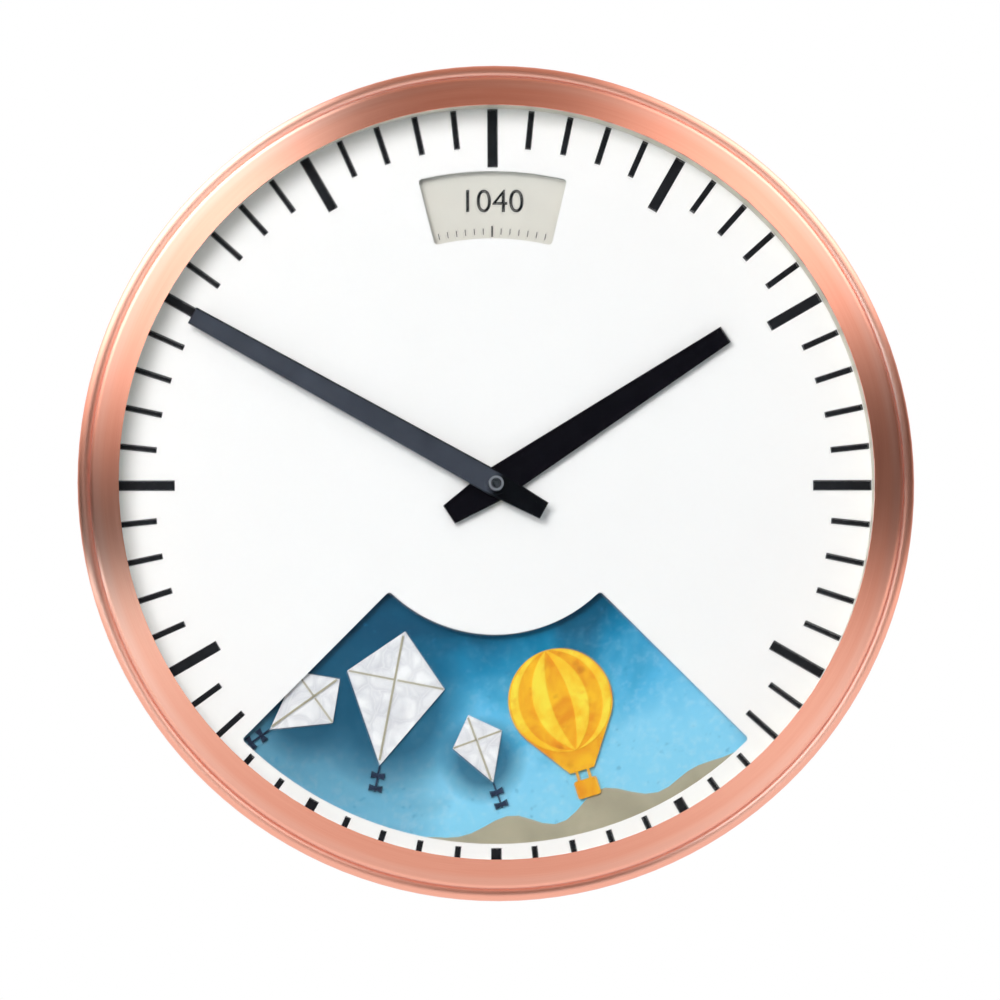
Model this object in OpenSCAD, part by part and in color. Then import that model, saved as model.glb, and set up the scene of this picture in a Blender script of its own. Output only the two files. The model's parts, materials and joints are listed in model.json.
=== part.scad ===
// Round wall clock with a forecast disc that turns behind two windows in its dial.
// Row frame: the hands turn about the Y axis, the front faces -Y, +Z is up, and the wall is y = 0.
// Every piece is drawn in the clock frame and turned by upright() into the row frame. In the clock
// frame x is to the right and y is up as seen from the front, and z is the height above the wall.

/* [Bezel] */
// Diameter over the rolled outer edge
bezel_d = 320; // [316:0.5:330]
// Width of the front, from the outer edge in to the opening in front of the glass
front_w = 15.5; // [14.5:0.1:17]
// Slope of the front band, falling outward, in degrees
bezel_slope = 13; // [9:0.5:17]
// Thickness of the lip at the opening
lip_t = 2.2; // [1.8:0.1:3]
// Distance from the outer edge in to the groove
groove_inset = 4.5; // [4:0.1:5]
// Radius of the rolled outer edge
bead_r = 2.6; // [2.3:0.1:3]
// Radius of the rounded shoulder inside the groove
shoulder_r = 2; // [1.6:0.1:2.4]
// Distance from the glass front back to the middle of the rolled edge
bead_drop = 3.5; // [3:0.1:4.4]
// Wall of the skirt that slides over the case band
skirt_t = 1.6; // [1.2:0.1:2]
// Length of the skirt behind the rolled edge
skirt_l = 21; // [17:0.5:23]

/* [Case] */
// Distance from the bezel's outer edge in to the case band
case_inset = 9.2; // [8.6:0.1:10]
// Wall of the case band
case_t = 1.5; // [1.2:0.1:2]
// Depth of the open recess behind the back plate
recess_depth = 10; // [9:0.5:14]
// Thickness of the back plate
back_t = 2; // [1.6:0.1:2.6]
// Thickness of the chassis plate
chassis_t = 2; // [1.5:0.1:2.5]
// Radial width of the two ledges inside the case band
ledge_w = 5.8; // [5.6:0.1:6.6]
// Thickness of the two ledges
ledge_t = 1.5; // [1.2:0.1:1.5]

/* [Dial] */
// Thickness of the dial plate
dial_t = 2; // [1.5:0.1:2.5]
// Height of the spacer ring between the dial and the glass
spacer_h = 15; // [14:0.5:20]
// Wall of the spacer ring
spacer_w = 3.8; // [3.2:0.1:4]
// Thickness of the glass
glass_t = 3; // [2:0.1:4]
// Thickness of the rubber gasket in front of the glass
gasket_t = 0.8; // [0.5:0.1:1.2]
// Width of the twelve five-minute bars
five_w = 4; // [3:0.1:6]
// Length of the five-minute bars
five_l = 22.5; // [15:0.5:23]
// Width of the single-minute bars
minute_w = 2.3; // [1.5:0.1:3.5]
// Length of the single-minute bars
minute_l = 14.9; // [8:0.1:20]
// Length of the bars below the picture window
short_l = 5.9; // [3:0.1:6.5]
// Inner radius of the picture window
picture_in_r = 57.2; // [54:0.2:62]
// Width of the dial that is left outside the picture window
dial_rim_w = 7.5; // [7:0.1:14]
// Half angle of the picture window, in degrees
picture_half_a = 45; // [40:0.5:45]
// Radial width of the forecast window
forecast_w = 26; // [20:0.5:27]
// Gap between the long bars and the forecast window
forecast_gap = 1.3; // [1:0.1:6]
// Half angle of the forecast window, in degrees
forecast_half_a = 13.7; // [11:0.1:13.8]
// Corner radius of both windows
window_corner_r = 1.5; // [1:0.1:3]

/* [Hands] */
// Distance from the minute hand's tip out to the ends of the bars
minute_hand_gap = 12.2; // [9:0.1:24]
// Length of the minute hand's tail
minute_tail_l = 21.2; // [16:0.1:30]
// Width of the minute hand at the axis
minute_hand_w = 9.6; // [9.2:0.1:14]
// Width of the minute hand at its tip
minute_tip_w = 6.9; // [4:0.1:9]
// Length of the hour hand from the axis to its tip
hour_hand_l = 106; // [80:0.5:112]
// Length of the hour hand's tail
hour_tail_l = 21.1; // [16:0.1:30]
// Width of the hour hand at the axis
hour_hand_w = 12.9; // [12:0.1:16]
// Width of the hour hand at its tip
hour_tip_w = 7.1; // [4:0.1:10]
// Thickness of both hands
hand_t = 1.2; // [1:0.1:1.4]
// Rest angle of the minute hand, clockwise from 12, in degrees
minute_a = 299.2; // [0:0.1:360]
// Rest angle of the hour hand, clockwise from 12, in degrees
hour_a = 57; // [0:0.1:360]

/* [Forecast disc] */
// Gap round the forecast disc
disc_gap = 2.5; // [1.5:0.1:4]
// Thickness of the forecast disc
disc_t = 1.2; // [0.8:0.1:1.4]
// Angle through which the disc turns, in degrees
disc_travel_a = 120; // [90:1:120]
// Thickness of the picture's raised pieces
relief_t = 1.3; // [0.8:0.1:1.6]
// Height of the pads under the picture's raised pieces
pad_h = 0.8; // [0.7:0.1:1]
// Gear module of the disc drive
drive_m = 1; // [0.94:0.02:1.02]
// Outer radius of the fixed sleeve that the disc hub turns on
sleeve_r = 9; // [8.4:0.1:10]
// Distance from the chassis plate to the dial plate
sleeve_l = 13; // [12.9:0.1:14]

/* [Movement] */
// Width and height of the quartz movement
movement_w = 56; // [55.6:0.2:58]
// Radius of the movement's threaded neck
neck_r = 4; // [3.6:0.1:4.2]
// Outer radius of the hour tube
hour_tube_r = 2.5; // [2.3:0.05:2.7]
// Radius of the minute arbor
arbor_r = 1.65; // [1.5:0.05:1.75]

/* [Electronics] */
// Diameter of the AA cells
cell_d = 14.5; // [14:0.1:14.8]
// Length of the AA cells
cell_l = 50.5; // [50:0.1:51]
// Radius of the stepper motor's can
motor_r = 12; // [10:0.1:12.4]
// Length of the stepper motor's can
motor_l = 12.5; // [9:0.5:14]
// Thickness of the control board
board_t = 1.6; // [1.2:0.1:2]
// Travel of the two push buttons
press_l = 1; // [0.6:0.1:1.2]

/* [Hidden] */
$fa = 3;
$fs = 0.5;

// Overrun of a cut past the face that it opens
cut = 1;
// Gap between loose flat pieces, and between pieces that turn past each other
run_gap = 0.3;
// Radial gap of a shaft in its bearing
shaft_gap = 0.08;
// Radial gap of a pressed seat
seat_gap = 0.03;
// Radial gap of a screw in its hole
screw_gap = 0.15;

// Heights of the main planes above the wall
box_floor_t = 1.2;
back_z = recess_depth;
back_front = back_z + back_t;
pillar_l = cell_d + box_floor_t + run_gap;
chassis_z = back_front + pillar_l;
chassis_front = chassis_z + chassis_t;
dial_z = chassis_front + sleeve_l;
dial_front = dial_z + dial_t;
glass_z = dial_front + spacer_h;
glass_front = glass_z + glass_t;
lip_z = glass_front + gasket_t;
bezel_front = lip_z + lip_t;

// Main radii
case_r = bezel_d / 2 - case_inset;
case_in_r = case_r - case_t;
seat_r = case_in_r - run_gap;
sight_r = bezel_d / 2 - front_w;
spacer_in_r = seat_r - spacer_w;
track_r = spacer_in_r - run_gap;
ledge_in_r = case_in_r - ledge_w;
disc_r = ledge_in_r - disc_gap;
picture_out_r = track_r - dial_rim_w;
forecast_out_r = track_r - five_l - forecast_gap;
forecast_in_r = forecast_out_r - forecast_w;
minute_hand_l = track_r - minute_hand_gap;

// Turns a piece from the clock frame into the row frame
module upright() {
    rotate([90, 0, 0])
        children();
}

// Moves to a clock angle and radius, with the piece's own y pointing outward
module at_clock(a, r = 0) {
    rotate([0, 0, -a])
        translate([0, r, 0])
            children();
}

// Moves to a clock angle and radius, with the piece's own y pointing at the axis
module facing_axis(a, r, tilt = 0) {
    at_clock(a, r)
        rotate([0, 0, 180 + tilt])
            children();
}

function clock_xy(a, r) = [r * sin(a), r * cos(a)];

// Points along an arc, in steps of about nine degrees
arc_step_a = 9;

function arc(c, r, a0, a1) =
    let (n = ceil(abs(a1 - a0) / arc_step_a))
        [for (i = [0 : n]) let (a = a0 + (a1 - a0) * i / n) c + r * [cos(a), sin(a)]];

module slab(z0, z1) {
    translate([0, 0, z0])
        linear_extrude(z1 - z0)
            children();
}

module disc(r, z0, z1) {
    translate([0, 0, z0])
        cylinder(r = r, h = z1 - z0);
}

module bore(r, z0, z1) {
    disc(r, z0 - cut, z1 + cut);
}

module ring(r_out, r_in, z0, z1) {
    difference() {
        disc(r_out, z0, z1);
        bore(r_in, z0, z1);
    }
}

module plate_2d(size, r) {
    square([size[0] - 2 * r, size[1]], center = true);
    square([size[0], size[1] - 2 * r], center = true);
    for (x = [-1, 1], y = [-1, 1])
        translate([x * (size[0] / 2 - r), y * (size[1] / 2 - r)])
            circle(r);
}

module box(size, z0, z1) {
    translate([-size[0] / 2, -size[1] / 2, z0])
        cube([size[0], size[1], z1 - z0]);
}

// A wedge about the axis between two clock angles, reaching past the radius
wedge_share = 1.3;
wedge_step_a = 15;

module wedge_2d(a0, a1, r) {
    steps = ceil((a1 - a0) / wedge_step_a);
    polygon(concat([[0, 0]], [
        for (i = [0 : steps])
            let (a = a0 + (a1 - a0) * i / steps)
                [wedge_share * r * sin(a), wedge_share * r * cos(a)]
    ]));
}

module sector_2d(r_in, r_out, a0, a1) {
    intersection() {
        difference() {
            circle(r_out);
            circle(r_in);
        }
        wedge_2d(a0, a1, r_out);
    }
}

// Points along an arc between two clock angles, without its last point
function clock_arc(c, r, a0, a1, n) =
    [for (i = [0 : n - 1]) c + clock_xy(a0 + (a1 - a0) * i / n, r)];

long_step_a = 2.5;
corner_steps = 5;
cap_steps = 8;

// A sector with round corners, centred on 12 o'clock
module window_2d(r_in, r_out, half_a, r) {
    in_a = half_a - asin(r / (r_in + r));
    out_a = half_a - asin(r / (r_out - r));
    steps = ceil(2 * half_a / long_step_a);
    polygon(concat(
        clock_arc([0, 0], r_out, -out_a, out_a, steps),
        clock_arc(clock_xy(out_a, r_out - r), r, out_a, half_a + 90, corner_steps),
        clock_arc(clock_xy(in_a, r_in + r), r, half_a + 90, in_a + 180, corner_steps),
        clock_arc([0, 0], r_in, in_a, -in_a, steps),
        clock_arc(clock_xy(-in_a, r_in + r), r, 180 - in_a, 270 - half_a, corner_steps),
        clock_arc(clock_xy(-out_a, r_out - r), r, 270 - half_a, 360 - out_a, corner_steps)
    ));
}

// An arc slot between the clock angles of its two end centres
module arc_slot_2d(r, a0, a1, half_w) {
    steps = ceil((a1 - a0) / long_step_a);
    polygon(concat(
        clock_arc([0, 0], r + half_w, a0, a1, steps),
        clock_arc(clock_xy(a1, r), half_w, a1, a1 + 180, cap_steps),
        clock_arc([0, 0], r - half_w, a1, a0, steps),
        clock_arc(clock_xy(a0, r), half_w, a0 + 180, a0 + 360, cap_steps)
    ));
}

// A screw along z with its head's seat at z = 0, its head above and its shank below
screw_slot_share = 0.35;
screw_slot_depth_share = 0.5;

module screw(r, l, head_r, head_h) {
    slot_h = head_h * screw_slot_depth_share;
    difference() {
        union() {
            disc(r, -l, 0);
            rotate_extrude()
                polygon([
                    [0, 0], [head_r, 0], [head_r, head_h / 2],
                    [head_r - head_h / 2, head_h], [0, head_h]
                ]);
        }
        for (turn = [0, 90])
            rotate([0, 0, turn])
                box([head_r, r * screw_slot_share], head_h - slot_h, head_h + cut);
    }
}

// Points of an involute gear's outline
flank_steps = 3;

function inv_a(c) = tan(acos(c)) * 180 / PI - acos(c);
function polar(r, a) = [r * cos(a), r * sin(a)];

module gear_2d(teeth, m, pressure_a, addendum_share, backlash) {
    pitch_r = teeth * m / 2;
    base_r = pitch_r * cos(pressure_a);
    tip_r = pitch_r + m * addendum_share;
    root_r = pitch_r - m * (addendum_share + tip_clearance_share);
    start_r = max(base_r, root_r);
    half_a = 90 / teeth - backlash / pitch_r * 90 / PI + inv_a(cos(pressure_a));
    flank = [
        for (i = [0 : flank_steps])
            let (r = start_r + (tip_r - start_r) * i / flank_steps)
                [r, half_a - inv_a(min(1, base_r / r))]
    ];
    root = root_r < base_r ? [[root_r, half_a]] : [];
    side = concat(root, flank);
    n = len(side);
    polygon([
        for (k = [0 : teeth - 1], i = [0 : 2 * n - 1])
            i < n
                ? polar(side[i][0], k * 360 / teeth - side[i][1])
                : polar(side[2 * n - 1 - i][0], k * 360 / teeth + side[2 * n - 1 - i][1])
    ]);
}

// The share of the module by which a root clears the mating tip
tip_clearance_share = 0.2;

// Bezel: one ring with a sloping front band, a shoulder, a groove, a rolled edge and a skirt
skirt_in_r = case_r + run_gap;
skirt_r = skirt_in_r + skirt_t;
bead_c = [bezel_d / 2 - bead_r, glass_front - bead_drop];
bead_end_a = -120;
skirt_z = bead_c[1] - bead_r - skirt_l;
shoulder_c_r = bezel_d / 2 - groove_inset - shoulder_r;
shoulder_top_r = shoulder_c_r + shoulder_r * sin(bezel_slope);
shoulder_top_z = bezel_front - (shoulder_top_r - sight_r) * tan(bezel_slope);
shoulder_c = [shoulder_c_r, shoulder_top_z - shoulder_r * cos(bezel_slope)];
groove_a = atan2(bead_c[1] - shoulder_c[1], bead_c[0] - shoulder_c[0]);
groove_lap_a = 18;
band_front = glass_front - glass_t / 3;
pocket_z = band_front + 2 * run_gap;
bezel_screw_r = 1.5;
bezel_screw_head_r = 2.6;
bezel_screw_head_h = 1.5;
bezel_screw_z = skirt_z + bezel_screw_head_r + run_gap;
bezel_screws_n = 4;

module bezel_screw_places() {
    for (i = [0 : bezel_screws_n - 1])
        rotate([0, 0, (i + 0.5) * 360 / bezel_screws_n])
            translate([skirt_r, 0, bezel_screw_z])
                rotate([0, 90, 0])
                    children();
}

module bezel_section() {
    foot = bead_c + bead_r * [cos(bead_end_a), sin(bead_end_a)];
    cove_r = foot[0] - skirt_r;
    polygon(concat(
        [[sight_r, lip_z], [sight_r, bezel_front]],
        arc(shoulder_c, shoulder_r, 90 - bezel_slope, groove_a + groove_lap_a),
        arc(bead_c, bead_r, 180 + groove_a - groove_lap_a, bead_end_a),
        arc(foot - [0, cove_r], cove_r, 90, 180),
        [
            [skirt_r, skirt_z], [skirt_in_r, skirt_z], [skirt_in_r, pocket_z],
            [seat_r + run_gap, pocket_z], [seat_r + run_gap, lip_z]
        ]
    ));
}

module bezel() {
    color([0.85, 0.55, 0.44])
        upright()
            difference() {
                rotate_extrude()
                    bezel_section();
                bezel_screw_places()
                    disc(bezel_screw_r + screw_gap, -skirt_t - cut, cut);
            }
}

module bezel_screws() {
    color([0.72, 0.48, 0.38])
        upright()
            bezel_screw_places()
                screw(bezel_screw_r, 2 * (skirt_r - case_in_r), bezel_screw_head_r,
                    bezel_screw_head_h);
}

// Glass, gasket and spacer ring
module glass_lens() {
    color([0.85, 0.92, 0.95, 0.3])
        upright()
            disc(seat_r, glass_z, glass_front);
}

module lens_gasket() {
    color([0.12, 0.12, 0.12])
        upright()
            ring(seat_r, sight_r + 2 * run_gap, glass_front, lip_z);
}

module spacer_ring() {
    color([0.88, 0.84, 0.76])
        upright()
            ring(seat_r, spacer_in_r, dial_front, glass_z);
}

// Dial plate with its picture window and its forecast window
module dial_plate() {
    color([0.98, 0.98, 0.97])
        upright()
            difference() {
                disc(seat_r, dial_z, dial_front);
                bore(neck_r + screw_gap, dial_z, dial_front);
                slab(dial_z - cut, dial_front + cut)
                    window_2d(forecast_in_r, forecast_out_r, forecast_half_a, window_corner_r);
                slab(dial_z - cut, dial_front + cut)
                    rotate([0, 0, 180])
                        window_2d(picture_in_r, picture_out_r, picture_half_a, window_corner_r);
            }
}

// Sixty printed bars, drawn as a thin layer on the dial
print_t = 0.12;
first_short = 23;
last_short = 37;

module minute_track() {
    color([0.13, 0.12, 0.13])
        upright()
            for (i = [0 : 59])
                at_clock(6 * i)
                    let (
                        five = i % 5 == 0,
                        short = i >= first_short && i <= last_short,
                        w = five ? five_w : minute_w,
                        l = short ? short_l : five ? five_l : minute_l
                    )
                        translate([-w / 2, track_r - l, dial_front])
                            cube([w, l, print_t]);
}

// Case band with a rear hem, a ledge for the chassis and a ledge for the dial
hem_w = 2.6;
hem_h = 4;
ledge_screw_r = 1.5;
ledge_screw_head_r = 2.6;
ledge_screw_head_h = 1.8;
ledge_screw_c_r = case_in_r - ledge_screw_head_r - run_gap;
ledge_screws_n = 6;

module ledge_screw_places() {
    for (i = [0 : ledge_screws_n - 1])
        at_clock(i * 360 / ledge_screws_n, ledge_screw_c_r)
            children();
}

module case_band() {
    color([0.62, 0.6, 0.58])
        upright()
            difference() {
                union() {
                    ring(case_r, case_in_r, 0, band_front);
                    ring(case_in_r + hem_w, case_in_r, 0, hem_h);
                    ring(case_in_r + case_t / 2, ledge_in_r, chassis_front, chassis_front + ledge_t);
                    ring(case_in_r + case_t / 2, ledge_in_r, dial_z - ledge_t, dial_z);
                }
                ledge_screw_places()
                    bore(ledge_screw_r + screw_gap, chassis_front, chassis_front + ledge_t);
                bezel_screw_places()
                    disc(bezel_screw_r + seat_gap, case_in_r - skirt_r - cut, 0);
            }
}

// Places on the back plate and the chassis plate
movement_cell_room = 2;
movement_room = 1.2;
movement_z = chassis_z - cell_d - movement_cell_room;
movement_window_w = movement_w + 2 * movement_room;
pillar_r = 3.5;
pillar_inset = 11.5;
pillar_c_r = ledge_in_r - pillar_inset;
pillars_n = 6;
pillar_screw_r = 1.5;
pillar_screw_l = 9;
pillar_head_r = 2.9;
pillar_head_h = 1.8;
pillar_spigot_r = 2;

box_t = 1.5;
contact_room = 3;
cells_n = 3;
cell_pitch = cell_d + 2 * run_gap;
bay_size = [cell_l + 2 * contact_room, cells_n * cell_pitch];
bay_place = [0, -78];

board_size = [50, 66];
board_place = [76, 22];
board_post_inset = 4;
board_post_r = 3;
board_post_h = 6;
board_z = back_front + board_post_h;
board_front = board_z + board_t;
board_screw_r = 1.1;
board_screw_l = 5.5;
board_head_r = 2.2;
board_head_h = 1.4;

knob_stem_r = 3;
knob_inset = 15;
knob_place = board_place + [0, board_size[1] / 2 - knob_inset];
button_r = 3.8;
button_side = 10;
button_inset = 19;
test_place = board_place + [-button_side, button_inset - board_size[1] / 2];
mode_place = board_place + [button_side, button_inset - board_size[1] / 2];

hanger_inset = 31.5;
hanger_place = [0, ledge_in_r - hanger_inset];
hanger_t = 1.5;
hanger_size = [44, 26];
hanger_foot_l = 9;
hanger_z = 3;
rivet_r = 1.2;
rivet_head_r = 2.2;
rivet_head_h = 1;
keyhole_r = 4.5;
keyhole_neck_r = 2.3;
keyhole_drop = 4;
keyhole_rise = 6;

vent_c_r = [60, 72, 84, 96, 108];
vent_half_w = 1.5;
vent_half_a = 16;
vent_a = 270;

module pillar_places() {
    for (i = [0 : pillars_n - 1])
        at_clock((i + 0.5) * 360 / pillars_n, pillar_c_r)
            children();
}

module board_post_places() {
    for (x = [-1, 1], y = [-1, 1])
        translate([
            board_place[0] + x * (board_size[0] / 2 - board_post_inset),
            board_place[1] + y * (board_size[1] / 2 - board_post_inset),
            0
        ])
            children();
}

module rivet_places() {
    foot_x = hanger_size[0] / 2 + hanger_foot_l / 2;
    for (x = [-1, 1], y = [-1, 1])
        translate([x * foot_x, hanger_place[1] + y * hanger_size[1] / 4, 0])
            children();
}

// Back plate with its windows, vents, board posts and the two ears of the battery cover
hinge_r = 1.6;
hinge_pin_r = 1;
hinge_half_l = 15;
ear_t = 3;
hinge_place = [bay_place[0], bay_place[1] - bay_size[1] / 2 + hinge_r + run_gap];
finger_r = 6;

module hinge_ears() {
    for (side = [-1, 1])
        translate([
            side * (hinge_half_l + run_gap + ear_t / 2) - ear_t / 2, hinge_place[1], back_z
        ])
            rotate([90, 0, 90])
                linear_extrude(ear_t)
                    difference() {
                        union() {
                            circle(hinge_r + run_gap);
                            translate([-2 * hinge_r - 2 * run_gap, 0])
                                square([2 * hinge_r + 2 * run_gap, back_t]);
                            translate([-2 * hinge_r - 2 * run_gap, -hinge_r / 2])
                                square([2 * hinge_r + 2 * run_gap, hinge_r]);
                        }
                        circle(hinge_pin_r + shaft_gap);
                    }
}

module back_plate() {
    color([0.16, 0.16, 0.17])
        upright() {
            difference() {
                union() {
                    disc(seat_r, back_z, back_front);
                    board_post_places()
                        disc(board_post_r, back_front, board_z);
                }
                slab(back_z - cut, back_front + cut) {
                    plate_2d([movement_window_w, movement_window_w], movement_corner_r);
                    translate(bay_place)
                        square(bay_size, center = true);
                    translate([bay_place[0], bay_place[1] + bay_size[1] / 2])
                        circle(finger_r);
                    for (r = vent_c_r)
                        arc_slot_2d(r, vent_a - vent_half_a, vent_a + vent_half_a, vent_half_w);
                }
                translate(knob_place)
                    bore(knob_stem_r + run_gap, back_z, back_front);
                for (place = [test_place, mode_place])
                    translate(place)
                        bore(button_r + run_gap, back_z, back_front);
                pillar_places()
                    bore(pillar_screw_r + screw_gap, back_z, back_front);
                rivet_places()
                    bore(rivet_r + seat_gap, back_z, back_front);
                board_post_places()
                    disc(board_screw_r + seat_gap, back_front, board_z + cut);
            }
            hinge_ears();
        }
}

module back_plate_screws() {
    color([0.75, 0.75, 0.76])
        upright()
            pillar_places()
                translate([0, 0, back_z])
                    rotate([180, 0, 0])
                        screw(pillar_screw_r, pillar_screw_l, pillar_head_r, pillar_head_h);
}

// Keyhole hanger: a bridge of steel strip that stands off the back plate
module keyhole_2d() {
    translate([0, -keyhole_drop])
        circle(keyhole_r);
    translate([-keyhole_neck_r, -keyhole_drop])
        square([2 * keyhole_neck_r, keyhole_drop + keyhole_rise]);
    translate([0, keyhole_rise])
        circle(keyhole_neck_r);
}

module keyhole_hanger() {
    color([0.7, 0.7, 0.71])
        upright()
            difference() {
                union() {
                    translate(hanger_place)
                        slab(hanger_z, hanger_z + hanger_t)
                            difference() {
                                plate_2d(hanger_size, hanger_t);
                                keyhole_2d();
                            }
                    for (side = [-1, 1]) {
                        translate([side * (hanger_size[0] - hanger_t) / 2, hanger_place[1], 0])
                            box([hanger_t, hanger_size[1] - 2 * hanger_t], hanger_z, back_z);
                        translate([
                            side * (hanger_size[0] + hanger_foot_l - hanger_t) / 2,
                            hanger_place[1], 0
                        ])
                            box([hanger_foot_l + hanger_t, hanger_size[1] - 2 * hanger_t],
                                back_z - hanger_t, back_z);
                    }
                }
                rivet_places()
                    bore(rivet_r + seat_gap, back_z - hanger_t, back_z);
            }
}

module hanger_rivets() {
    color([0.78, 0.78, 0.79])
        upright()
            rivet_places() {
                disc(rivet_r, back_z - hanger_t, back_front);
                disc(rivet_head_r, back_z - hanger_t - rivet_head_h, back_z - hanger_t);
                disc(rivet_head_r, back_front, back_front + rivet_head_h);
            }
}

// Chassis plate: carries the movement, the motor and the battery box
drive_teeth = [90, 15];
drive_pressure_a = 25;
drive_addendum_share = 0.9;
drive_backlash = 0.15;
drive_c = drive_m * (drive_teeth[0] + drive_teeth[1]) / 2;
motor_boss_r = 4.5;
motor_boss_h = 1.5;
motor_ear_t = 1;
motor_ear_half_w = 4;
motor_ear_c = 17;
motor_screw_r = 1.3;
motor_head_r = 2.3;
motor_head_h = 1.3;
stop_r = 2;
stop_c_r = 22;
stop_rest_a = 180;
chassis_rim_w = 21.5;
chassis_window_r = [70, ledge_in_r - chassis_rim_w];
chassis_window_half_a = 26;
chassis_window_corner_r = 5;

module motor_ear_places() {
    for (side = [-1, 1])
        translate([side * motor_ear_c, drive_c, 0])
            children();
}

module chassis_plate() {
    color([0.66, 0.67, 0.69])
        upright()
            difference() {
                disc(seat_r, chassis_z, chassis_front);
                bore(neck_r + screw_gap, chassis_z, chassis_front);
                translate([0, drive_c, 0])
                    bore(motor_boss_r + screw_gap, chassis_z, chassis_front);
                motor_ear_places()
                    bore(motor_screw_r + screw_gap, chassis_z, chassis_front);
                pillar_places()
                    bore(pillar_spigot_r + seat_gap, chassis_z, chassis_front);
                ledge_screw_places()
                    bore(ledge_screw_r + screw_gap, chassis_z, chassis_front);
                slab(chassis_z - cut, chassis_front + cut) {
                    arc_slot_2d(stop_c_r, stop_rest_a - disc_travel_a, stop_rest_a,
                        stop_r + run_gap);
                    for (a = [90, 270])
                        rotate([0, 0, -a])
                            window_2d(chassis_window_r[0], chassis_window_r[1],
                                chassis_window_half_a, chassis_window_corner_r);
                }
            }
}

module chassis_pillars() {
    color([0.78, 0.66, 0.4])
        upright()
            pillar_places() {
                difference() {
                    disc(pillar_r, back_front, chassis_z);
                    disc(pillar_screw_r + seat_gap, back_front - cut,
                        back_z + pillar_screw_l + cut);
                }
                disc(pillar_spigot_r, chassis_z, chassis_front);
            }
}

module chassis_screws() {
    color([0.75, 0.75, 0.76])
        upright()
            ledge_screw_places()
                translate([0, 0, chassis_z])
                    rotate([180, 0, 0])
                        screw(ledge_screw_r, chassis_t + 2 * ledge_t, ledge_screw_head_r,
                            ledge_screw_head_h);
}

// Fixed sleeve between the chassis and the dial, with a groove for the circlip
sleeve_flange_r = 12;
sleeve_flange_t = 1;
hub_z = chassis_front + sleeve_flange_t + run_gap;
gear_w = 4;
hub_seat_h = 2.7;
disc_z = hub_z + gear_w + hub_seat_h;
disc_front = disc_z + disc_t;
hub_wall = 3.5;
hub_rise = 1.7;
hub_spigot_r = sleeve_r + shaft_gap + hub_wall;
hub_top = disc_front + hub_rise;
circlip_t = 0.8;
circlip_z = hub_top + run_gap;
circlip_groove = 0.8;
circlip_w = 2.4;
circlip_gap_a = 50;

module centre_sleeve() {
    color([0.8, 0.7, 0.45])
        upright()
            difference() {
                union() {
                    disc(sleeve_r, chassis_front, dial_z);
                    disc(sleeve_flange_r, chassis_front, chassis_front + sleeve_flange_t);
                }
                bore(neck_r + screw_gap, chassis_front, dial_z);
                ring(sleeve_r + cut, sleeve_r - circlip_groove, circlip_z - seat_gap,
                    circlip_z + circlip_t + seat_gap);
            }
}

module sleeve_circlip() {
    color([0.35, 0.35, 0.37])
        upright()
            slab(circlip_z, circlip_z + circlip_t)
                sector_2d(sleeve_r - circlip_groove + seat_gap,
                    sleeve_r - circlip_groove + seat_gap + circlip_w,
                    circlip_gap_a / 2, 360 - circlip_gap_a / 2);
}

// Geared hub of the forecast disc
hub_rim_w = 5.5;
hub_rim_in_r = drive_m * drive_teeth[0] / 2 - hub_rim_w;
hub_web_w = 2;
hub_seat_r = [27, 36];
hub_hole_r = 4.6;
hub_holes_n = 8;
disc_screw_r = 1.25;
disc_screw_l = 4;
disc_head_r = 2.4;
disc_head_h = 1.3;
disc_screws_n = 4;

module disc_screw_places() {
    for (i = [0 : disc_screws_n - 1])
        at_clock((i + 0.5) * 360 / disc_screws_n, (hub_seat_r[0] + hub_seat_r[1]) / 2)
            children();
}

module weather_hub() {
    web_z = hub_z + gear_w - hub_web_w;
    hole_c_r = (hub_spigot_r + hub_seat_r[0]) / 2;
    color([0.93, 0.92, 0.88])
        upright()
            difference() {
                union() {
                    difference() {
                        slab(hub_z, hub_z + gear_w)
                            rotate([0, 0, 90])
                                gear_2d(drive_teeth[0], drive_m, drive_pressure_a,
                                    drive_addendum_share, drive_backlash);
                        ring(hub_rim_in_r, hub_spigot_r, hub_z - cut, web_z);
                    }
                    ring(hub_seat_r[1], hub_seat_r[0], hub_z + gear_w, disc_z);
                    disc(hub_spigot_r, hub_z, hub_top);
                    at_clock(stop_rest_a, stop_c_r)
                        disc(stop_r, chassis_z + run_gap, web_z + hub_web_w / 2);
                }
                bore(sleeve_r + shaft_gap, hub_z, hub_top);
                for (i = [0 : hub_holes_n - 1])
                    at_clock((i + 0.5) * 360 / hub_holes_n, hole_c_r)
                        bore(hub_hole_r, web_z, disc_z);
                disc_screw_places()
                    disc(disc_screw_r + seat_gap, disc_z - disc_screw_l - run_gap, disc_z + cut);
            }
}

// Forecast disc: the picture lies from 135 to 345 degrees and the cream band round 12 o'clock
band_t = 0.3;
band_margin = 1.5;
band_margin_a = 1;

module weather_disc() {
    color([0.28, 0.64, 0.84])
        upright()
            difference() {
                disc(disc_r, disc_z, disc_front);
                bore(hub_spigot_r + seat_gap, disc_z, disc_front);
                disc_screw_places()
                    bore(disc_screw_r + screw_gap, disc_z, disc_front);
            }
}

module forecast_band() {
    color([0.88, 0.86, 0.82])
        upright()
            slab(disc_front, disc_front + band_t)
                sector_2d(forecast_in_r - band_margin, forecast_out_r + band_margin,
                    -forecast_half_a - band_margin_a,
                    forecast_half_a + disc_travel_a + band_margin_a);
}

module disc_screws() {
    color([0.75, 0.75, 0.76])
        upright()
            disc_screw_places()
                translate([0, 0, disc_front])
                    screw(disc_screw_r, disc_screw_l + disc_t, disc_head_r, disc_head_h);
}

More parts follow.
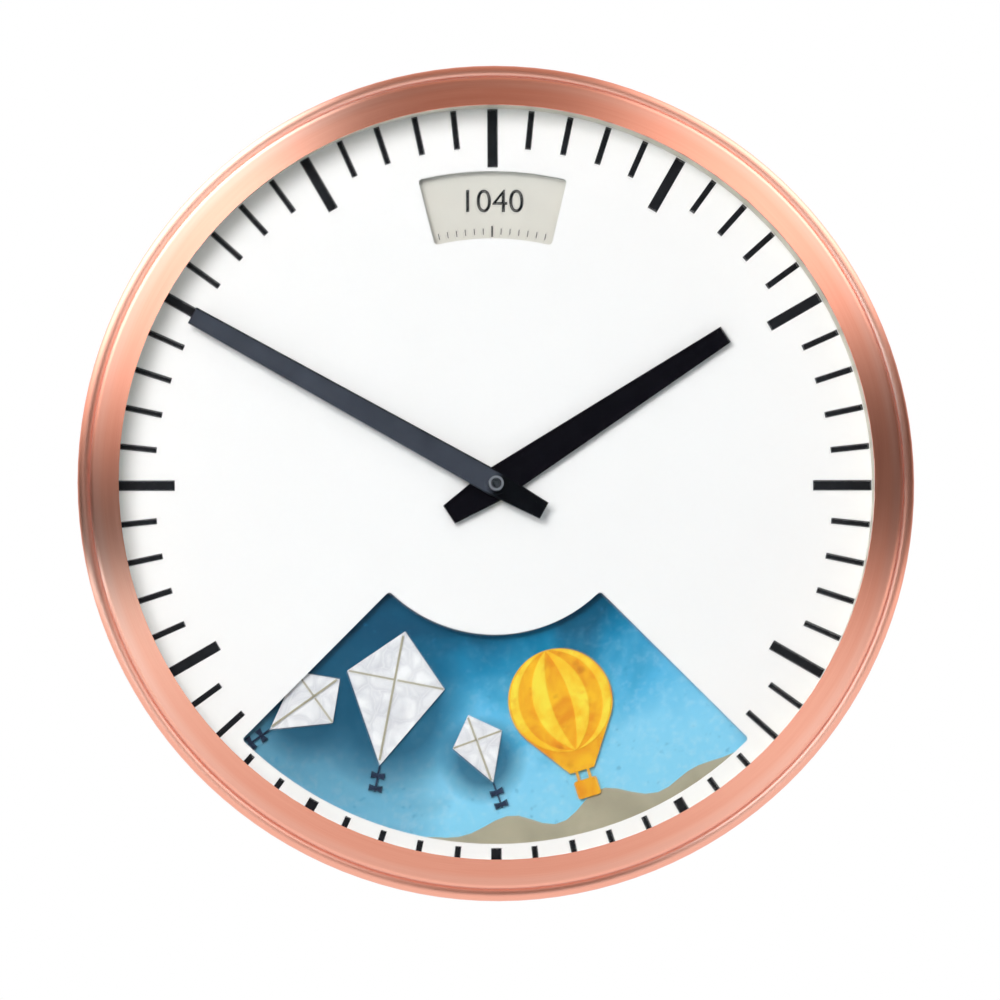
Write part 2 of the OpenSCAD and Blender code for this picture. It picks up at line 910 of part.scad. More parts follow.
// The picture's pieces, drawn upright where they pass 6 o'clock. Each has its clock angle past the
// middle of the picture at rest and its distance in from the window's outer edge. Low pieces lie on
// the disc, and raised ones stand on pads.
picture_a = 180;
relief_z = disc_front;
low_t = 0.6;
raised_z = relief_z + pad_h;
relief_front = raised_z + relief_t;
pad_r = 3;

module in_picture(side_a, inset, tilt = 0) {
    facing_axis(picture_a + side_a, picture_out_r - inset, tilt)
        children();
}

module pad() {
    disc(pad_r, relief_z, raised_z + relief_t / 2);
}

// Hot-air balloon: a round crown that tapers to a throat, with raised gores and a basket
balloon_r = 20;
balloon_side_a = 17;
balloon_inset = 51.4;
balloon_taper_a = 35;
balloon_throat = 28;
basket_size = [9, 7];
basket_drop = 35;
rope_w = 1;
gore_t = 0.5;
gore_shares = [[0.2, 0.52], [0.8, 0.96]];

module balloon_2d() {
    crown_x = balloon_r * cos(balloon_taper_a);
    crown_y = -balloon_r * sin(balloon_taper_a);
    throat_x = crown_x - (balloon_throat + crown_y) * tan(balloon_taper_a);
    circle(balloon_r);
    polygon([
        [crown_x, crown_y], [-crown_x, crown_y], [-throat_x, -balloon_throat],
        [throat_x, -balloon_throat]
    ]);
}

// The lens between two arcs that meet above and below and bulge to the given half width
module lens_2d(half_h, bulge) {
    arc_r = (half_h * half_h + bulge * bulge) / (2 * bulge);
    intersection_for (side = [-1, 1])
        translate([side * (arc_r - bulge), 0])
            circle(arc_r);
}

module balloon_relief() {
    color([0.96, 0.68, 0.16])
        upright()
            in_picture(-balloon_side_a, balloon_inset) {
                slab(raised_z, relief_front) {
                    balloon_2d();
                    translate([0, -basket_drop])
                        plate_2d(basket_size, rope_w);
                    for (side = [-1, 1])
                        translate([side * basket_size[0] / 4 - rope_w / 2, -basket_drop])
                            square([rope_w, basket_drop - balloon_throat + rope_w]);
                }
                pad();
            }
}

module balloon_gores() {
    color([0.99, 0.84, 0.3])
        upright()
            slab(relief_front, relief_front + gore_t)
                in_picture(-balloon_side_a, balloon_inset)
                    for (share = gore_shares, side = [-1, 1])
                        intersection() {
                            difference() {
                                lens_2d(balloon_r, balloon_r * share[1]);
                                lens_2d(balloon_r, balloon_r * share[0]);
                            }
                            translate([side * balloon_r, 0])
                                square(2 * balloon_r, center = true);
                            balloon_2d();
                        }
}

// Paper kites: angle, inset, tilt and half width of each
kites = [[27, 54, 16, 19], [40.5, 31, -14, 12], [4, 40, 24, 10]];
kite_top_share = 1;
kite_tail_share = 1.75;
kite_fold_share = 0.55;
bow_w = 2.6;
bow_pitch = 5;
bows_n = 2;
string_w = 0.7;

module kite_2d(half_w) {
    polygon([
        [0, half_w * kite_top_share], [half_w, 0], [0, -half_w * kite_tail_share], [-half_w, 0]
    ]);
}

module kite_relief() {
    color([0.93, 0.93, 0.94])
        upright()
            for (kite = kites)
                in_picture(kite[0], kite[1], kite[2]) {
                    slab(raised_z, raised_z + relief_t * kite_fold_share)
                        kite_2d(kite[3]);
                    slab(raised_z, relief_front)
                        intersection() {
                            kite_2d(kite[3]);
                            translate([-2 * kite[3], -2 * kite[3]])
                                square([2 * kite[3], 4 * kite[3]]);
                        }
                    pad();
                }
}

module kite_tails() {
    color([0.1, 0.14, 0.22])
        upright()
            slab(raised_z, raised_z + relief_t * kite_fold_share)
                for (kite = kites)
                    in_picture(kite[0], kite[1], kite[2])
                        translate([0, -kite[3] * kite_tail_share - run_gap]) {
                            translate([-string_w / 2, -bows_n * bow_pitch])
                                square([string_w, bows_n * bow_pitch]);
                            for (i = [1 : bows_n])
                                translate([0, bow_w / 2 - i * bow_pitch])
                                    polygon([
                                        [-bow_w, bow_w / 2], [-bow_w, -bow_w / 2],
                                        [0, -string_w], [bow_w, -bow_w / 2],
                                        [bow_w, bow_w / 2], [0, string_w]
                                    ]);
                        }
}

// Groups of rolling hills along the rim: first angle, last angle and height of each
hills = [[-42, 12, 15], [44, 84, 9], [96, 156, 15]];
hill_step_a = 2;
hill_rim = 0.5;
hill_crests = 3;
crest_share = 0.3;

function hill_line(hill, t) = picture_out_r
    - hill[2] * sin(180 * t) * (1 - crest_share + crest_share * sin(360 * hill_crests * t));

module hill_relief() {
    color([0.7, 0.66, 0.54])
        upright()
            slab(relief_z, relief_z + low_t)
                for (hill = hills) {
                    steps = ceil((hill[1] - hill[0]) / hill_step_a);
                    angle = (hill[1] - hill[0]) / steps;
                    rotate([0, 0, -picture_a - hill[0]])
                        polygon(concat(
                            [for (i = [0 : steps]) clock_xy(i * angle, hill_line(hill, i / steps))],
                            [for (i = [steps : -1 : 0]) clock_xy(i * angle, disc_r - hill_rim)]
                        ));
                }
}

// Umbrellas: angle, inset, tilt and radius of each
umbrellas = [[64, 53, -10, 15], [88, 52, 12, 16]];
scallops_n = 4;
scallop_share = 0.9;
handle_w = 1.4;
hook_share = 0.16;

module umbrella_2d(r) {
    hook_r = r * hook_share;
    difference() {
        circle(r);
        translate([-r - cut, -r - cut])
            square([2 * (r + cut), r + cut]);
        for (i = [0 : scallops_n - 1])
            translate([(2 * i + 1 - scallops_n) * r / scallops_n, 0])
                circle(r / scallops_n * scallop_share);
    }
    translate([-handle_w / 2, -r])
        square([handle_w, r + r / 2]);
    difference() {
        translate([hook_r, -r])
            circle(hook_r + handle_w / 2);
        translate([hook_r, -r])
            circle(hook_r - handle_w / 2);
        translate([-r, -r])
            square([2 * r, r]);
    }
}

module umbrella_relief() {
    color([0.55, 0.6, 0.66])
        upright()
            for (umbrella = umbrellas)
                in_picture(umbrella[0], umbrella[1], umbrella[2]) {
                    slab(raised_z, relief_front)
                        umbrella_2d(umbrella[3]);
                    translate([0, umbrella[3] / 2, 0])
                        pad();
                }
}

// Raindrops in rows: the distance in of each row, and their angles
drop_r = 1.6;
drop_rows = [71.4, 27.4, 18.4];
drop_first_a = 50;
drop_last_a = 102;
drop_step_a = 7.5;

module drop_2d() {
    circle(drop_r);
    polygon([
        [drop_r * cos(30), drop_r * sin(30)], [0, 2 * drop_r], [-drop_r * cos(30), drop_r * sin(30)]
    ]);
}

module raindrop_relief() {
    color([0.86, 0.9, 0.94])
        upright()
            slab(relief_z, relief_z + low_t)
                for (i = [0 : len(drop_rows) - 1], a = [drop_first_a : drop_step_a : drop_last_a])
                    in_picture(a + i % 2 * drop_step_a / 2, drop_rows[i])
                        drop_2d();
}

// Lightning bolts: angle, inset, tilt and half height of each
bolts = [[120, 49, -8, 24], [138, 39, 10, 20], [154, 51, 4, 22]];
bolt_share = [[0.1, 1], [-0.3, 0.05], [-0.04, 0.05], [-0.22, -1], [0.3, 0.2], [0.06, 0.2], [0.34, 1]];

module bolt_relief() {
    color([0.97, 0.78, 0.22])
        upright()
            for (bolt = bolts)
                in_picture(bolt[0], bolt[1], bolt[2]) {
                    slab(raised_z, relief_front)
                        polygon(bolt[3] * bolt_share);
                    pad();
                }
}

// Stepper motor, its shaft and its pinion, above the axis
motor_shaft_r = 2.5;
motor_shaft_depth = 8;
pinion_over = 0.4;

module stepper_motor() {
    color([0.78, 0.79, 0.8])
        upright()
            translate([0, drive_c, 0])
                difference() {
                    union() {
                        disc(motor_r, chassis_z - motor_l, chassis_z);
                        disc(motor_boss_r, chassis_z, chassis_z + motor_boss_h);
                        slab(chassis_z - motor_ear_t, chassis_z)
                            plate_2d([2 * (motor_ear_c + motor_ear_half_w), 2 * motor_ear_half_w],
                                motor_ear_half_w - seat_gap);
                    }
                    disc(motor_shaft_r + shaft_gap, chassis_z - motor_shaft_depth,
                        chassis_z + motor_boss_h + cut);
                    for (side = [-1, 1])
                        translate([side * motor_ear_c, 0, 0])
                            bore(motor_screw_r + screw_gap, chassis_z - motor_ear_t, chassis_z);
                }
}

module motor_pinion() {
    color([0.93, 0.92, 0.88])
        upright()
            translate([0, drive_c, 0]) {
                slab(hub_z - pinion_over, hub_z + gear_w + pinion_over)
                    rotate([0, 0, -90 + 180 / drive_teeth[1]])
                        gear_2d(drive_teeth[1], drive_m, drive_pressure_a, drive_addendum_share,
                            drive_backlash);
                disc(motor_shaft_r, chassis_z - motor_shaft_depth + run_gap,
                    hub_z + gear_w + 2 * pinion_over);
            }
}

module motor_screws() {
    color([0.75, 0.75, 0.76])
        upright()
            motor_ear_places()
                translate([0, 0, chassis_z - motor_ear_t])
                    rotate([180, 0, 0])
                        screw(motor_screw_r, motor_ear_t + chassis_t, motor_head_r,
                            motor_head_h);
}

// Quartz movement: two case halves round the battery bay and the motion work
movement_corner_r = 5;
movement_wall = 1.5;
movement_rear_h = 6.5;
movement_split_z = movement_z + movement_rear_h;
movement_front_z = chassis_z - movement_wall;
movement_end_wall = 1.8;
movement_bay_room = [1.9, 0.4];
movement_bay_size = [movement_w - 2 * movement_end_wall, cell_d + movement_bay_room[1]];
movement_cell_l = movement_bay_size[0] - movement_bay_room[0];
movement_bay_y = -movement_w / 2 + movement_wall + movement_bay_size[1] / 2;
bay_wall = 1.2;
gear_room_y = movement_bay_y + movement_bay_size[1] / 2 + bay_wall;
gear_room_top = movement_w / 2 - movement_wall;
washer_t = 0.6;
washer_r = 5.8;
nut_h = 2;
nut_r = 6;
neck_over = 0.4;
neck_top = dial_front + washer_t + nut_h + neck_over;

motion_share = 3 / 14;
motion_c = movement_w * motion_share;
cannon_teeth = 12;
motion_teeth = 36;
motion_pinion_teeth = 10;
hour_teeth = 40;
small_m = 2 * motion_c / (cannon_teeth + motion_teeth);
hour_m = 2 * motion_c / (motion_pinion_teeth + hour_teeth);
small_pressure_a = 28;
small_addendum_share = 0.8;
small_backlash = 0.1;
gear_t = 1.2;
hour_wheel_z = movement_front_z - run_gap - gear_t;
cannon_w = 1.9;
cannon_over = 0.4;
cannon_z = hour_wheel_z - run_gap - cannon_w;
motion_wheel_z = cannon_z + cannon_over;
motion_arbor_r = 1;
pivot_r = 1.1;
pivot_room = 0.4;
pivot_z = movement_z + movement_wall + pivot_room;
pivot_l = 3;
post_r = 3;
post_h = 3;
knob_r = 8;
knob_h = 3;
knob_z = movement_z - run_gap - knob_h;

module movement_outline() {
    plate_2d([movement_w, movement_w], movement_corner_r);
}

module movement_bay_2d() {
    translate([0, movement_bay_y])
        square(movement_bay_size, center = true);
}

module gear_room_2d() {
    half_w = movement_w / 2 - movement_wall;
    translate([-half_w, gear_room_y])
        square([2 * half_w, gear_room_top - gear_room_y]);
}

module movement_front_case() {
    color([0.1, 0.1, 0.11])
        upright()
            difference() {
                union() {
                    slab(movement_split_z, chassis_z)
                        movement_outline();
                    disc(neck_r, chassis_z, neck_top);
                }
                slab(movement_split_z - cut, movement_front_z) {
                    movement_bay_2d();
                    gear_room_2d();
                }
                bore(hour_tube_r + shaft_gap, movement_front_z, neck_top);
                translate([0, motion_c, 0])
                    disc(motion_arbor_r + shaft_gap, movement_front_z - cut,
                        chassis_z - movement_wall / 2);
            }
}

module movement_rear_case() {
    color([0.12, 0.12, 0.13])
        upright()
            difference() {
                union() {
                    difference() {
                        slab(movement_z, movement_split_z)
                            movement_outline();
                        slab(movement_z + movement_wall, movement_split_z + cut)
                            gear_room_2d();
                        slab(movement_z - cut, movement_split_z + cut)
                            movement_bay_2d();
                    }
                    disc(post_r, movement_z + movement_wall / 2, movement_z + movement_wall + post_h);
                }
                disc(pivot_r + shaft_gap, pivot_z - run_gap, movement_z + movement_wall + post_h + cut);
                translate([0, motion_c, 0])
                    bore(motion_arbor_r + shaft_gap, movement_z, movement_z + movement_wall);
            }
}

module movement_washer() {
    color([0.85, 0.72, 0.42])
        upright()
            ring(washer_r, neck_r + screw_gap, dial_front, dial_front + washer_t);
}

module movement_nut() {
    color([0.85, 0.72, 0.42])
        upright()
            difference() {
                translate([0, 0, dial_front + washer_t])
                    cylinder(r = nut_r, h = nut_h, $fn = 6);
                bore(neck_r + seat_gap, dial_front + washer_t, dial_front + washer_t + nut_h);
            }
}

module movement_coil() {
    coil_r = 5;
    coil_h = 8;
    flange_t = 1;
    coil_z = movement_z + movement_wall;
    color([0.72, 0.42, 0.2])
        upright()
            translate([-movement_w / 4 - 2 * flange_t, motion_c, 0]) {
                disc(coil_r, coil_z, coil_z + flange_t);
                disc(coil_r - flange_t, coil_z, coil_z + coil_h);
                disc(coil_r, coil_z + coil_h - flange_t, coil_z + coil_h);
            }
}

module movement_circuit() {
    circuit_room = [1, 3.5];
    circuit_size = [motion_c - circuit_room[0], 2 * (gear_room_top - motion_c - circuit_room[1])];
    chip_r = 3;
    circuit_z = movement_z + movement_wall;
    color([0.1, 0.35, 0.2])
        upright()
            translate([movement_w / 2 - movement_wall - circuit_size[0], motion_c, 0]) {
                box(circuit_size, circuit_z, circuit_z + board_t);
                disc(chip_r, circuit_z, circuit_z + 2 * board_t);
            }
}

// One cell of length l along x, centred, with its nub at +x
nub_r = 2.75;
nub_l = 1.3;

module cell(l) {
    rotate([0, 90, 0]) {
        disc(cell_d / 2, -l / 2, l / 2 - nub_l);
        disc(nub_r, -l / 2, l / 2);
    }
}

// A contact plate facing -x at x = 0, with a nub that reaches the cell
contact_t = 0.4;
contact_inset = 2;
contact_nub_r = 2.4;

module contact(reach, size) {
    translate([-contact_t, -size / 2, -size / 2])
        cube([contact_t, size, size]);
    rotate([0, -90, 0])
        disc(contact_nub_r, 0, reach);
}

module movement_battery() {
    color([0.2, 0.45, 0.3])
        upright()
            translate([0, movement_bay_y, movement_front_z - cell_d / 2 - shaft_gap])
                cell(movement_cell_l);
}

module movement_contacts() {
    reach = movement_bay_room[0] / 2 - shaft_gap;
    color([0.8, 0.8, 0.8])
        upright()
            translate([0, movement_bay_y, movement_front_z - cell_d / 2 - shaft_gap])
                for (side = [0, 180])
                    rotate([0, 0, side])
                        translate([movement_bay_size[0] / 2, 0, 0])
                            contact(reach, cell_d - contact_inset);
}

// Motion work
module minute_arbor() {
    color([0.82, 0.72, 0.45])
        upright() {
            disc(pivot_r, pivot_z, pivot_z + pivot_l + run_gap);
            disc(arbor_r, pivot_z + pivot_l, minute_hand_z + hand_t);
            disc(thread_r, minute_hand_z, minute_hand_z + hand_t + boss_h + nut_reach);
            slab(cannon_z, cannon_z + cannon_w)
                at_clock(0)
                    rotate([0, 0, 90])
                        gear_2d(cannon_teeth, small_m, small_pressure_a, small_addendum_share,
                            small_backlash);
        }
}

module hour_wheel() {
    color([0.86, 0.76, 0.48])
        upright()
            difference() {
                union() {
                    slab(hour_wheel_z, hour_wheel_z + gear_t)
                        rotate([0, 0, 90])
                            gear_2d(hour_teeth, hour_m, small_pressure_a, small_addendum_share,
                                small_backlash);
                    disc(hour_tube_r, hour_wheel_z, hour_hand_z + hand_t);
                }
                bore(arbor_r + shaft_gap, hour_wheel_z, hour_hand_z + hand_t);
            }
}

module motion_wheel() {
    color([0.86, 0.76, 0.48])
        upright()
            translate([0, motion_c, 0]) {
                slab(motion_wheel_z, motion_wheel_z + gear_t)
                    rotate([0, 0, -90 + 180 / motion_teeth])
                        gear_2d(motion_teeth, small_m, small_pressure_a, small_addendum_share,
                            small_backlash);
                slab(motion_wheel_z + gear_t, hour_wheel_z + gear_t)
                    rotate([0, 0, -90 + 180 / motion_pinion_teeth])
                        gear_2d(motion_pinion_teeth, hour_m, small_pressure_a,
                            small_addendum_share, small_backlash);
                disc(motion_arbor_r, knob_z + run_gap, chassis_z - movement_wall / 2 - run_gap / 2);
            }
}

// Knurled setting knob on the rear end of the motion arbor
flute_r = 0.8;
flutes_n = 20;

module set_knob() {
    color([0.2, 0.2, 0.21])
        upright()
            translate([0, motion_c, 0])
                difference() {
                    disc(knob_r, knob_z, knob_z + knob_h);
                    bore(motion_arbor_r + seat_gap, knob_z, knob_z + knob_h);
                    for (i = [0 : flutes_n - 1])
                        at_clock(i * 360 / flutes_n, knob_r + flute_r / 2)
                            bore(flute_r, knob_z, knob_z + knob_h);
                }
}

// Hands: square-ended bars with bevelled front edges
hand_bevel = 0.5;
hand_space = 2.8;
hour_hand_gap = 1;
hour_hand_z = neck_top + hour_hand_gap;
minute_hand_z = hour_hand_z + hand_t + hand_space;
minute_tail_w = 7;
hour_tail_w = 8.2;
boss_r = 4.4;
boss_h = 0.5;
thread_r = 1.4;
hand_nut_r = 3;
hand_nut_h = 2.5;
nut_reach = 1.3;

// The outline of a hand that points up, drawn in by an inset all round
module hand_2d(l, tail_l, w, tip_w, tail_w, inset) {
    polygon([
        [-tail_w / 2 + inset, inset - tail_l], [tail_w / 2 - inset, inset - tail_l],
        [w / 2 - inset, 0], [tip_w / 2 - inset, l - inset],
        [inset - tip_w / 2, l - inset], [inset - w / 2, 0]
    ]);
}

module hand(z, l, tail_l, w, tip_w, tail_w) {
    hull() {
        slab(z, z + hand_t - hand_bevel)
            hand_2d(l, tail_l, w, tip_w, tail_w, 0);
        slab(z, z + hand_t)
            hand_2d(l, tail_l, w, tip_w, tail_w, hand_bevel);
    }
}

module minute_hand() {
    color([0.09, 0.1, 0.12])
        upright()
            at_clock(minute_a)
                difference() {
                    union() {
                        hand(minute_hand_z, minute_hand_l, minute_tail_l, minute_hand_w,
                            minute_tip_w, minute_tail_w);
                        disc(boss_r, minute_hand_z + hand_t / 2, minute_hand_z + hand_t + boss_h);
                    }
                    bore(arbor_r + seat_gap, minute_hand_z, minute_hand_z + hand_t);
                }
}

module hour_hand() {
    color([0.06, 0.05, 0.06])
        upright()
            at_clock(hour_a)
                difference() {
                    hand(hour_hand_z, hour_hand_l, hour_tail_l, hour_hand_w, hour_tip_w,
                        hour_tail_w);
                    bore(hour_tube_r + seat_gap, hour_hand_z, hour_hand_z + hand_t);
                }
}

module hand_nut() {
    nut_z = minute_hand_z + hand_t + boss_h;
    color([0.16, 0.17, 0.18])
        upright()
            difference() {
                disc(hand_nut_r, nut_z, nut_z + hand_nut_h);
                bore(thread_r + seat_gap, nut_z, nut_z + hand_nut_h);
            }
}

// Battery box for the motor and the control board
cell_z = chassis_z - box_floor_t - cell_d / 2 - seat_gap;

module cell_places() {
    for (i = [0 : cells_n - 1])
        translate([
            bay_place[0], bay_place[1] + (i - (cells_n - 1) / 2) * cell_pitch, cell_z
        ])
            rotate([0, 0, 180 * (i % 2)])
                children();
}

module battery_box() {
    outer = bay_size + 2 * [box_t, box_t];
    color([0.14, 0.14, 0.15])
        upright()
            translate(bay_place)
                difference() {
                    box(outer, back_front, chassis_z);
                    box(bay_size, back_front - cut, chassis_z - box_floor_t);
                    translate([0, outer[1] / 2, 0])
                        disc(finger_r, back_front - cut, back_front + finger_r);
                }
}

module battery_cells() {
    color([0.2, 0.45, 0.3])
        upright()
            cell_places()
                cell(cell_l);
}

module battery_contacts() {
    color([0.8, 0.8, 0.8])
        upright()
            cell_places()
                for (side = [0, 180])
                    rotate([0, 0, side])
                        translate([bay_size[0] / 2, 0, 0])
                            contact(contact_room - seat_gap, cell_d - 2 * contact_inset);
}

// Hinged battery cover: its barrel and stub pins turn in the back plate's ears
module battery_cover() {
    notch = 2 * hinge_r + run_gap;
    half = [bay_size[0] / 2 - run_gap, bay_size[1] / 2 - run_gap];
    top = bay_place[1] + half[1];
    low = hinge_place[1] - hinge_r;
    ear_top = hinge_place[1] + notch;
    ear_side = hinge_half_l + ear_t + 2 * run_gap;
    color([0.18, 0.18, 0.19])
        upright() {
            slab(back_z, back_front - seat_gap)
                polygon([
                    [-half[0], low], [-half[0], top], [half[0], top], [half[0], low],
                    [ear_side, low], [ear_side, ear_top], [hinge_half_l, ear_top],
                    [hinge_half_l, hinge_place[1]], [-hinge_half_l, hinge_place[1]],
                    [-hinge_half_l, ear_top], [-ear_side, ear_top], [-ear_side, low]
                ]);
            translate([0, hinge_place[1], back_z])
                rotate([0, 90, 0]) {
                    disc(hinge_r, -hinge_half_l, hinge_half_l);
                    disc(hinge_pin_r, -hinge_half_l - ear_t, hinge_half_l + ear_t);
                }
        }
}

// Control board, its parts, the altitude dial and the two push buttons
pot_size = [12, 12];
pot_h = 4.4;
pot_floor = 1;
dial_knob_r = 9;
dial_knob_h = 4;
switch_size = [6, 6];
switch_h = 2.4;
button_flange_r = 5;
button_flange_t = 1;
button_proud = 1.5;
button_stem_r = 1.5;

module control_board() {
    color([0.08, 0.33, 0.2])
        upright()
            difference() {
                translate(board_place)
                    box(board_size, board_z, board_front);
                board_post_places()
                    bore(board_screw_r + screw_gap, board_z, board_front);
            }
}

module board_components() {
    chip_size = [10, 10];
    chip_h = 1.6;
    socket_size = [12, 5];
    socket_h = 5;
    capacitor_r = 2.5;
    capacitor_h = 5.5;
    crystal_size = [4, 8];
    color([0.1, 0.1, 0.11])
        upright()
            translate(board_place) {
                box(chip_size, board_front, board_front + chip_h);
                for (x = [-1, 1])
                    translate([x * chip_size[0], -2 * chip_size[1], 0])
                        box(socket_size, board_front, board_front + socket_h);
                for (x = [-1, 1])
                    translate([x * 1.5 * chip_size[0], chip_size[1], 0])
                        disc(capacitor_r, board_front, board_front + capacitor_h);
                translate([1.5 * chip_size[0], 0, 0])
                    box(crystal_size, board_front, board_front + 2 * chip_h);
            }
}

module pressure_sensor() {
    can_r = 4;
    can_h = 2.4;
    port_r = 1.4;
    port_bore_r = 0.7;
    port_h = 3;
    color([0.83, 0.83, 0.84])
        upright()
            translate(board_place - [board_size[0] / 4, 0])
                difference() {
                    union() {
                        disc(can_r, board_front, board_front + can_h);
                        disc(port_r, board_front, board_front + can_h + port_h);
                    }
                    disc(port_bore_r, board_front + can_h, board_front + can_h + port_h + cut);
                }
}

module board_screws() {
    color([0.75, 0.75, 0.76])
        upright()
            board_post_places()
                translate([0, 0, board_front])
                    screw(board_screw_r, board_screw_l, board_head_r, board_head_h);
}

module altitude_pot() {
    color([0.15, 0.3, 0.55])
        upright()
            translate(knob_place)
                difference() {
                    box(pot_size, board_z - pot_h, board_z);
                    disc(knob_stem_r + shaft_gap, board_z - pot_h - cut, board_z - pot_floor);
                }
}

module altitude_knob() {
    color([0.85, 0.85, 0.84])
        upright()
            translate(knob_place)
                difference() {
                    union() {
                        disc(dial_knob_r, back_z - run_gap - dial_knob_h, back_z - run_gap);
                        disc(knob_stem_r, back_z - run_gap, board_z - pot_floor - run_gap);
                    }
                    for (i = [0 : flutes_n - 1])
                        at_clock(i * 360 / flutes_n, dial_knob_r + flute_r / 2)
                            disc(flute_r, back_z - dial_knob_h - cut, back_z);
                }
}

module push_button() {
    flange_z = back_front + run_gap;
    disc(button_r, back_z - button_proud, flange_z + button_flange_t);
    disc(button_flange_r, flange_z, flange_z + button_flange_t);
    disc(button_stem_r, flange_z, board_z - switch_h - press_l - run_gap / 2);
}

module test_button() {
    color([0.75, 0.2, 0.16])
        upright()
            translate(test_place)
                push_button();
}

module mode_button() {
    color([0.85, 0.85, 0.84])
        upright()
            translate(mode_place)
                push_button();
}

module button_switches() {
    color([0.3, 0.3, 0.31])
        upright()
            for (place = [test_place, mode_place])
                translate(place)
                    box(switch_size, board_z - switch_h, board_z);
}

bezel();
bezel_screws();
glass_lens();
lens_gasket();
spacer_ring();
dial_plate();
minute_track();
case_band();
back_plate();
back_plate_screws();
keyhole_hanger();
hanger_rivets();
chassis_plate();
chassis_pillars();
chassis_screws();
centre_sleeve();
sleeve_circlip();
weather_hub();
weather_disc();
forecast_band();
balloon_relief();
balloon_gores();
kite_relief();
kite_tails();
hill_relief();
umbrella_relief();
raindrop_relief();
bolt_relief();
disc_screws();
motor_pinion();
stepper_motor();
motor_screws();
movement_front_case();
movement_rear_case();
movement_washer();
movement_nut();
minute_hand();
minute_arbor();
hand_nut();
hour_hand();
hour_wheel();
motion_wheel();
set_knob();
movement_coil();
movement_circuit();
movement_battery();
movement_contacts();
battery_box();
battery_cells();
battery_contacts();
battery_cover();
control_board();
board_components();
pressure_sensor();
board_screws();
altitude_pot();
altitude_knob();
test_button();
mode_button();
button_switches();
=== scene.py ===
"""Weather clock: finishes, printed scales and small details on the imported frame, with a studio."""

import json
import math

import bpy
from mathutils import Matrix, Vector


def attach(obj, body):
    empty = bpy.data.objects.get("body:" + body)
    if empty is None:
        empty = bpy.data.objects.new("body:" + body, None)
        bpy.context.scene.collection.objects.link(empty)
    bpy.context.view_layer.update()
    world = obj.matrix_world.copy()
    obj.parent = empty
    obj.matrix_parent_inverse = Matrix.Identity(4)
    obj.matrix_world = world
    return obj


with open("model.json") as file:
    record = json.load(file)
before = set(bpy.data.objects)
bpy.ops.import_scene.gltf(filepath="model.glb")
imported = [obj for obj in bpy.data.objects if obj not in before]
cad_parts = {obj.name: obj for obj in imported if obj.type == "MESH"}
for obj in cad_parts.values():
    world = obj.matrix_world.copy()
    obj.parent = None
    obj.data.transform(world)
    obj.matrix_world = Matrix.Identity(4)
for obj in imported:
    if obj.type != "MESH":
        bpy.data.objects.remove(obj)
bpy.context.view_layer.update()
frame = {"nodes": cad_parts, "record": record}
nodes = frame["nodes"]

MM = 0.001
WHITE = (1.0, 1.0, 1.0)

# Planes of the case, as heights above the wall in millimetres
WALL_SIDE_Z = 10.0
BAND_FRONT_Z = 39.5
DIAL_FRONT_Z = 45.0

# Turns the clock frame (x right, y up, z to the viewer) into the row frame
UPRIGHT = Matrix.Rotation(math.radians(90), 4, "X") @ Matrix.Scale(MM, 4)
# The same for a mark that is read from behind
FROM_BEHIND = Matrix.Rotation(math.radians(180), 4, "Z") @ UPRIGHT


def at_clock(angle, radius, height):
    """Places a mark at a clock angle in degrees and a radius, standing on that radius."""
    turn = Matrix.Rotation(math.radians(-angle), 4, "Z")
    return UPRIGHT @ turn @ Matrix.Translation((0, radius, height))


# The picture's kites: angle past 6 o'clock, inset from the window's edge, tilt and half width
PICTURE_OUT_R = 137.4
KITES = ((27, 54, 16, 19), (40.5, 31, -14, 12), (4, 40, 24, 10))
RELIEF_FRONT_Z = 41.3
FOLD_FRONT_Z = 40.715
KITE_TAIL_SHARE = 1.75


def kite_place(side, inset, tilt, height):
    place = at_clock(180 + side, PICTURE_OUT_R - inset, height)
    return place @ Matrix.Rotation(math.radians(180 + tilt), 4, "Z")


# Materials

# Where Blender's Mix node keeps its factor, two colours and result
MIX_COLOR_SOCKETS = (0, 6, 7)
MIX_COLOR_OUT = 2


class Nodes:
    """A node tree, and short calls for the nodes that are added to it."""

    def __init__(self, tree):
        self.tree = tree

    def node(self, kind, **settings):
        made = self.tree.nodes.new(kind)
        for key, value in settings.items():
            setattr(made, key, value)
        return made

    def link(self, source, socket):
        self.tree.links.new(source, socket)

    def feed(self, socket, value):
        """Gives a socket a plain number, a colour or what another node puts out."""
        if isinstance(value, (int, float)):
            socket.default_value = value
        elif isinstance(value, tuple):
            socket.default_value = (*value, 1)
        else:
            self.link(value, socket)

    def maths(self, operation, *values):
        made = self.node("ShaderNodeMath", operation=operation)
        for socket, value in zip(made.inputs, values):
            self.feed(socket, value)
        return made.outputs[0]

    def ramp(self, factor, *stops):
        """A colour ramp through (place, colour) stops."""
        made = self.node("ShaderNodeValToRGB")
        points = made.color_ramp.elements
        while len(points) < len(stops):
            points.new(0.5)
        for point, (place, color) in zip(points, stops):
            point.position = place
            point.color = (*color, 1)
        self.link(factor, made.inputs["Fac"])
        return made.outputs["Color"]

    def span(self, value, low, high, to_low=0.0, to_high=1.0):
        """Maps low to high onto to_low to to_high, and holds there."""
        made = self.node("ShaderNodeMapRange")
        for name, number in (
            ("From Min", low),
            ("From Max", high),
            ("To Min", to_low),
            ("To Max", to_high),
        ):
            made.inputs[name].default_value = number
        self.link(value, made.inputs["Value"])
        return made.outputs["Result"]


